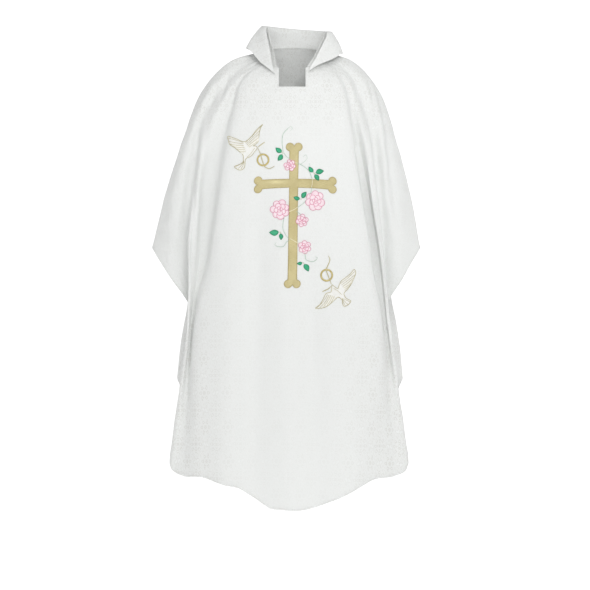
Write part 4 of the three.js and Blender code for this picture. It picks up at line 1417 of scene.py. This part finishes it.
# ---------------------------------------------------------------------------------------------
# The studio: a round cove of grey paper that glows white and lights the garment too, whose floor runs up into
# its wall, a white room over it, and two
# # soft lamps in front. A grey patch of weaker glow on the floor in front keeps the floor from lighting the
# hem from below.
# The camera looks straight at the front from just above the middle.
# ---------------------------------------------------------------------------------------------
world = bpy.data.worlds.new("white room")
bpy.context.scene.world = world
world.use_nodes = True
room = world.node_tree.nodes["Background"]
room.inputs["Color"].default_value = (1, 1, 1, 1)
room.inputs["Strength"].default_value = 0.34
bpy.context.scene.view_settings.view_transform = "Standard"

floor_level = cad_box[0][2] - 0.20
cove_reach, cove_bend, cove_height = 13.0, 2.0, 3.6
around = 96
# The cove's section, as distances from its middle and heights over its floor.
profile = [(4.0, 0.0), (8.0, 0.0)]
for k in range(13):
    turn = math.radians(90 * k / 12)
    profile.append((cove_reach - cove_bend + cove_bend * math.sin(turn), cove_bend * (1 - math.cos(turn))))
profile.append((cove_reach, cove_height))
cove_verts = [(reach * math.cos(2 * math.pi * k / around), reach * math.sin(2 * math.pi * k / around),
               floor_level + rise) for reach, rise in profile for k in range(around)]
cove_faces = [list(range(around))]
for ring in range(len(profile) - 1):
    for k in range(around):
        a, b = ring * around + k, ring * around + (k + 1) % around
        cove_faces.append((a, a + around, b + around, b))
cove = bpy.data.meshes.new("studio_cove")
cove.from_pydata(cove_verts, [], cove_faces)
cove.shade_smooth()
floor = object_of("studio_cove", cove)
paper, paper_shader, paper_tone = new_finish("studio_paper", Roughness=0.9)
paper_shader.inputs["Base Color"].default_value = (0.35, 0.35, 0.35, 1)
paper_glow, patch_loss = 0.93, 0.68
patch_half_width, patch_half_depth, patch_forward = 2.8, 2.2, 2.9
floor_x, floor_y, _ = paper_tone.node("ShaderNodeTexCoord", None, None, 3).split()
patch_x, patch_y = floor_x / patch_half_width, (floor_y + patch_forward) / patch_half_depth
grey_patch = 1 - (patch_x * patch_x + patch_y * patch_y).step_up(0.3, 1.0)
wire((paper_glow - grey_patch * patch_loss).blend((0, 0, 0, 1), (1, 1, 1, 1)), paper_shader, "Emission Color")
paper_shader.inputs["Emission Strength"].default_value = 1.0
cove.materials.append(paper)


def lamp(name, place, target, size, power):
    """A soft rectangular lamp that points at a target."""
    light = bpy.data.lights.new(name, "AREA")
    light.shape = "RECTANGLE"
    light.size, light.size_y = size
    light.energy = power
    holder = bpy.data.objects.new(name, light)
    bpy.context.scene.collection.objects.link(holder)
    holder.location = place
    holder.rotation_euler = (Vector(target) - Vector(place)).to_track_quat("-Z", "Y").to_euler()


lamp("key_softbox", (0.45, -2.9, 1.0), (0, 0, -0.4), (1.0, 1.0), 34)
lamp("top_softbox", (0.3, -1.2, 2.4), (0, 0, -0.5), (1.6, 1.2), 17)

camera_data = bpy.data.cameras.new("camera")
camera_data.lens = 215.5
camera_data.sensor_width = 36
camera = bpy.data.objects.new("camera", camera_data)
bpy.context.scene.collection.objects.link(camera)
aim = Vector((0.008, 0, -0.689))
camera_distance, camera_rise = 10.0, math.radians(1.0)
camera.location = aim + camera_distance * Vector((0, -math.cos(camera_rise), math.sin(camera_rise)))
camera.rotation_euler = (aim - camera.location).to_track_quat("-Z", "Y").to_euler()
bpy.context.scene.camera = camera
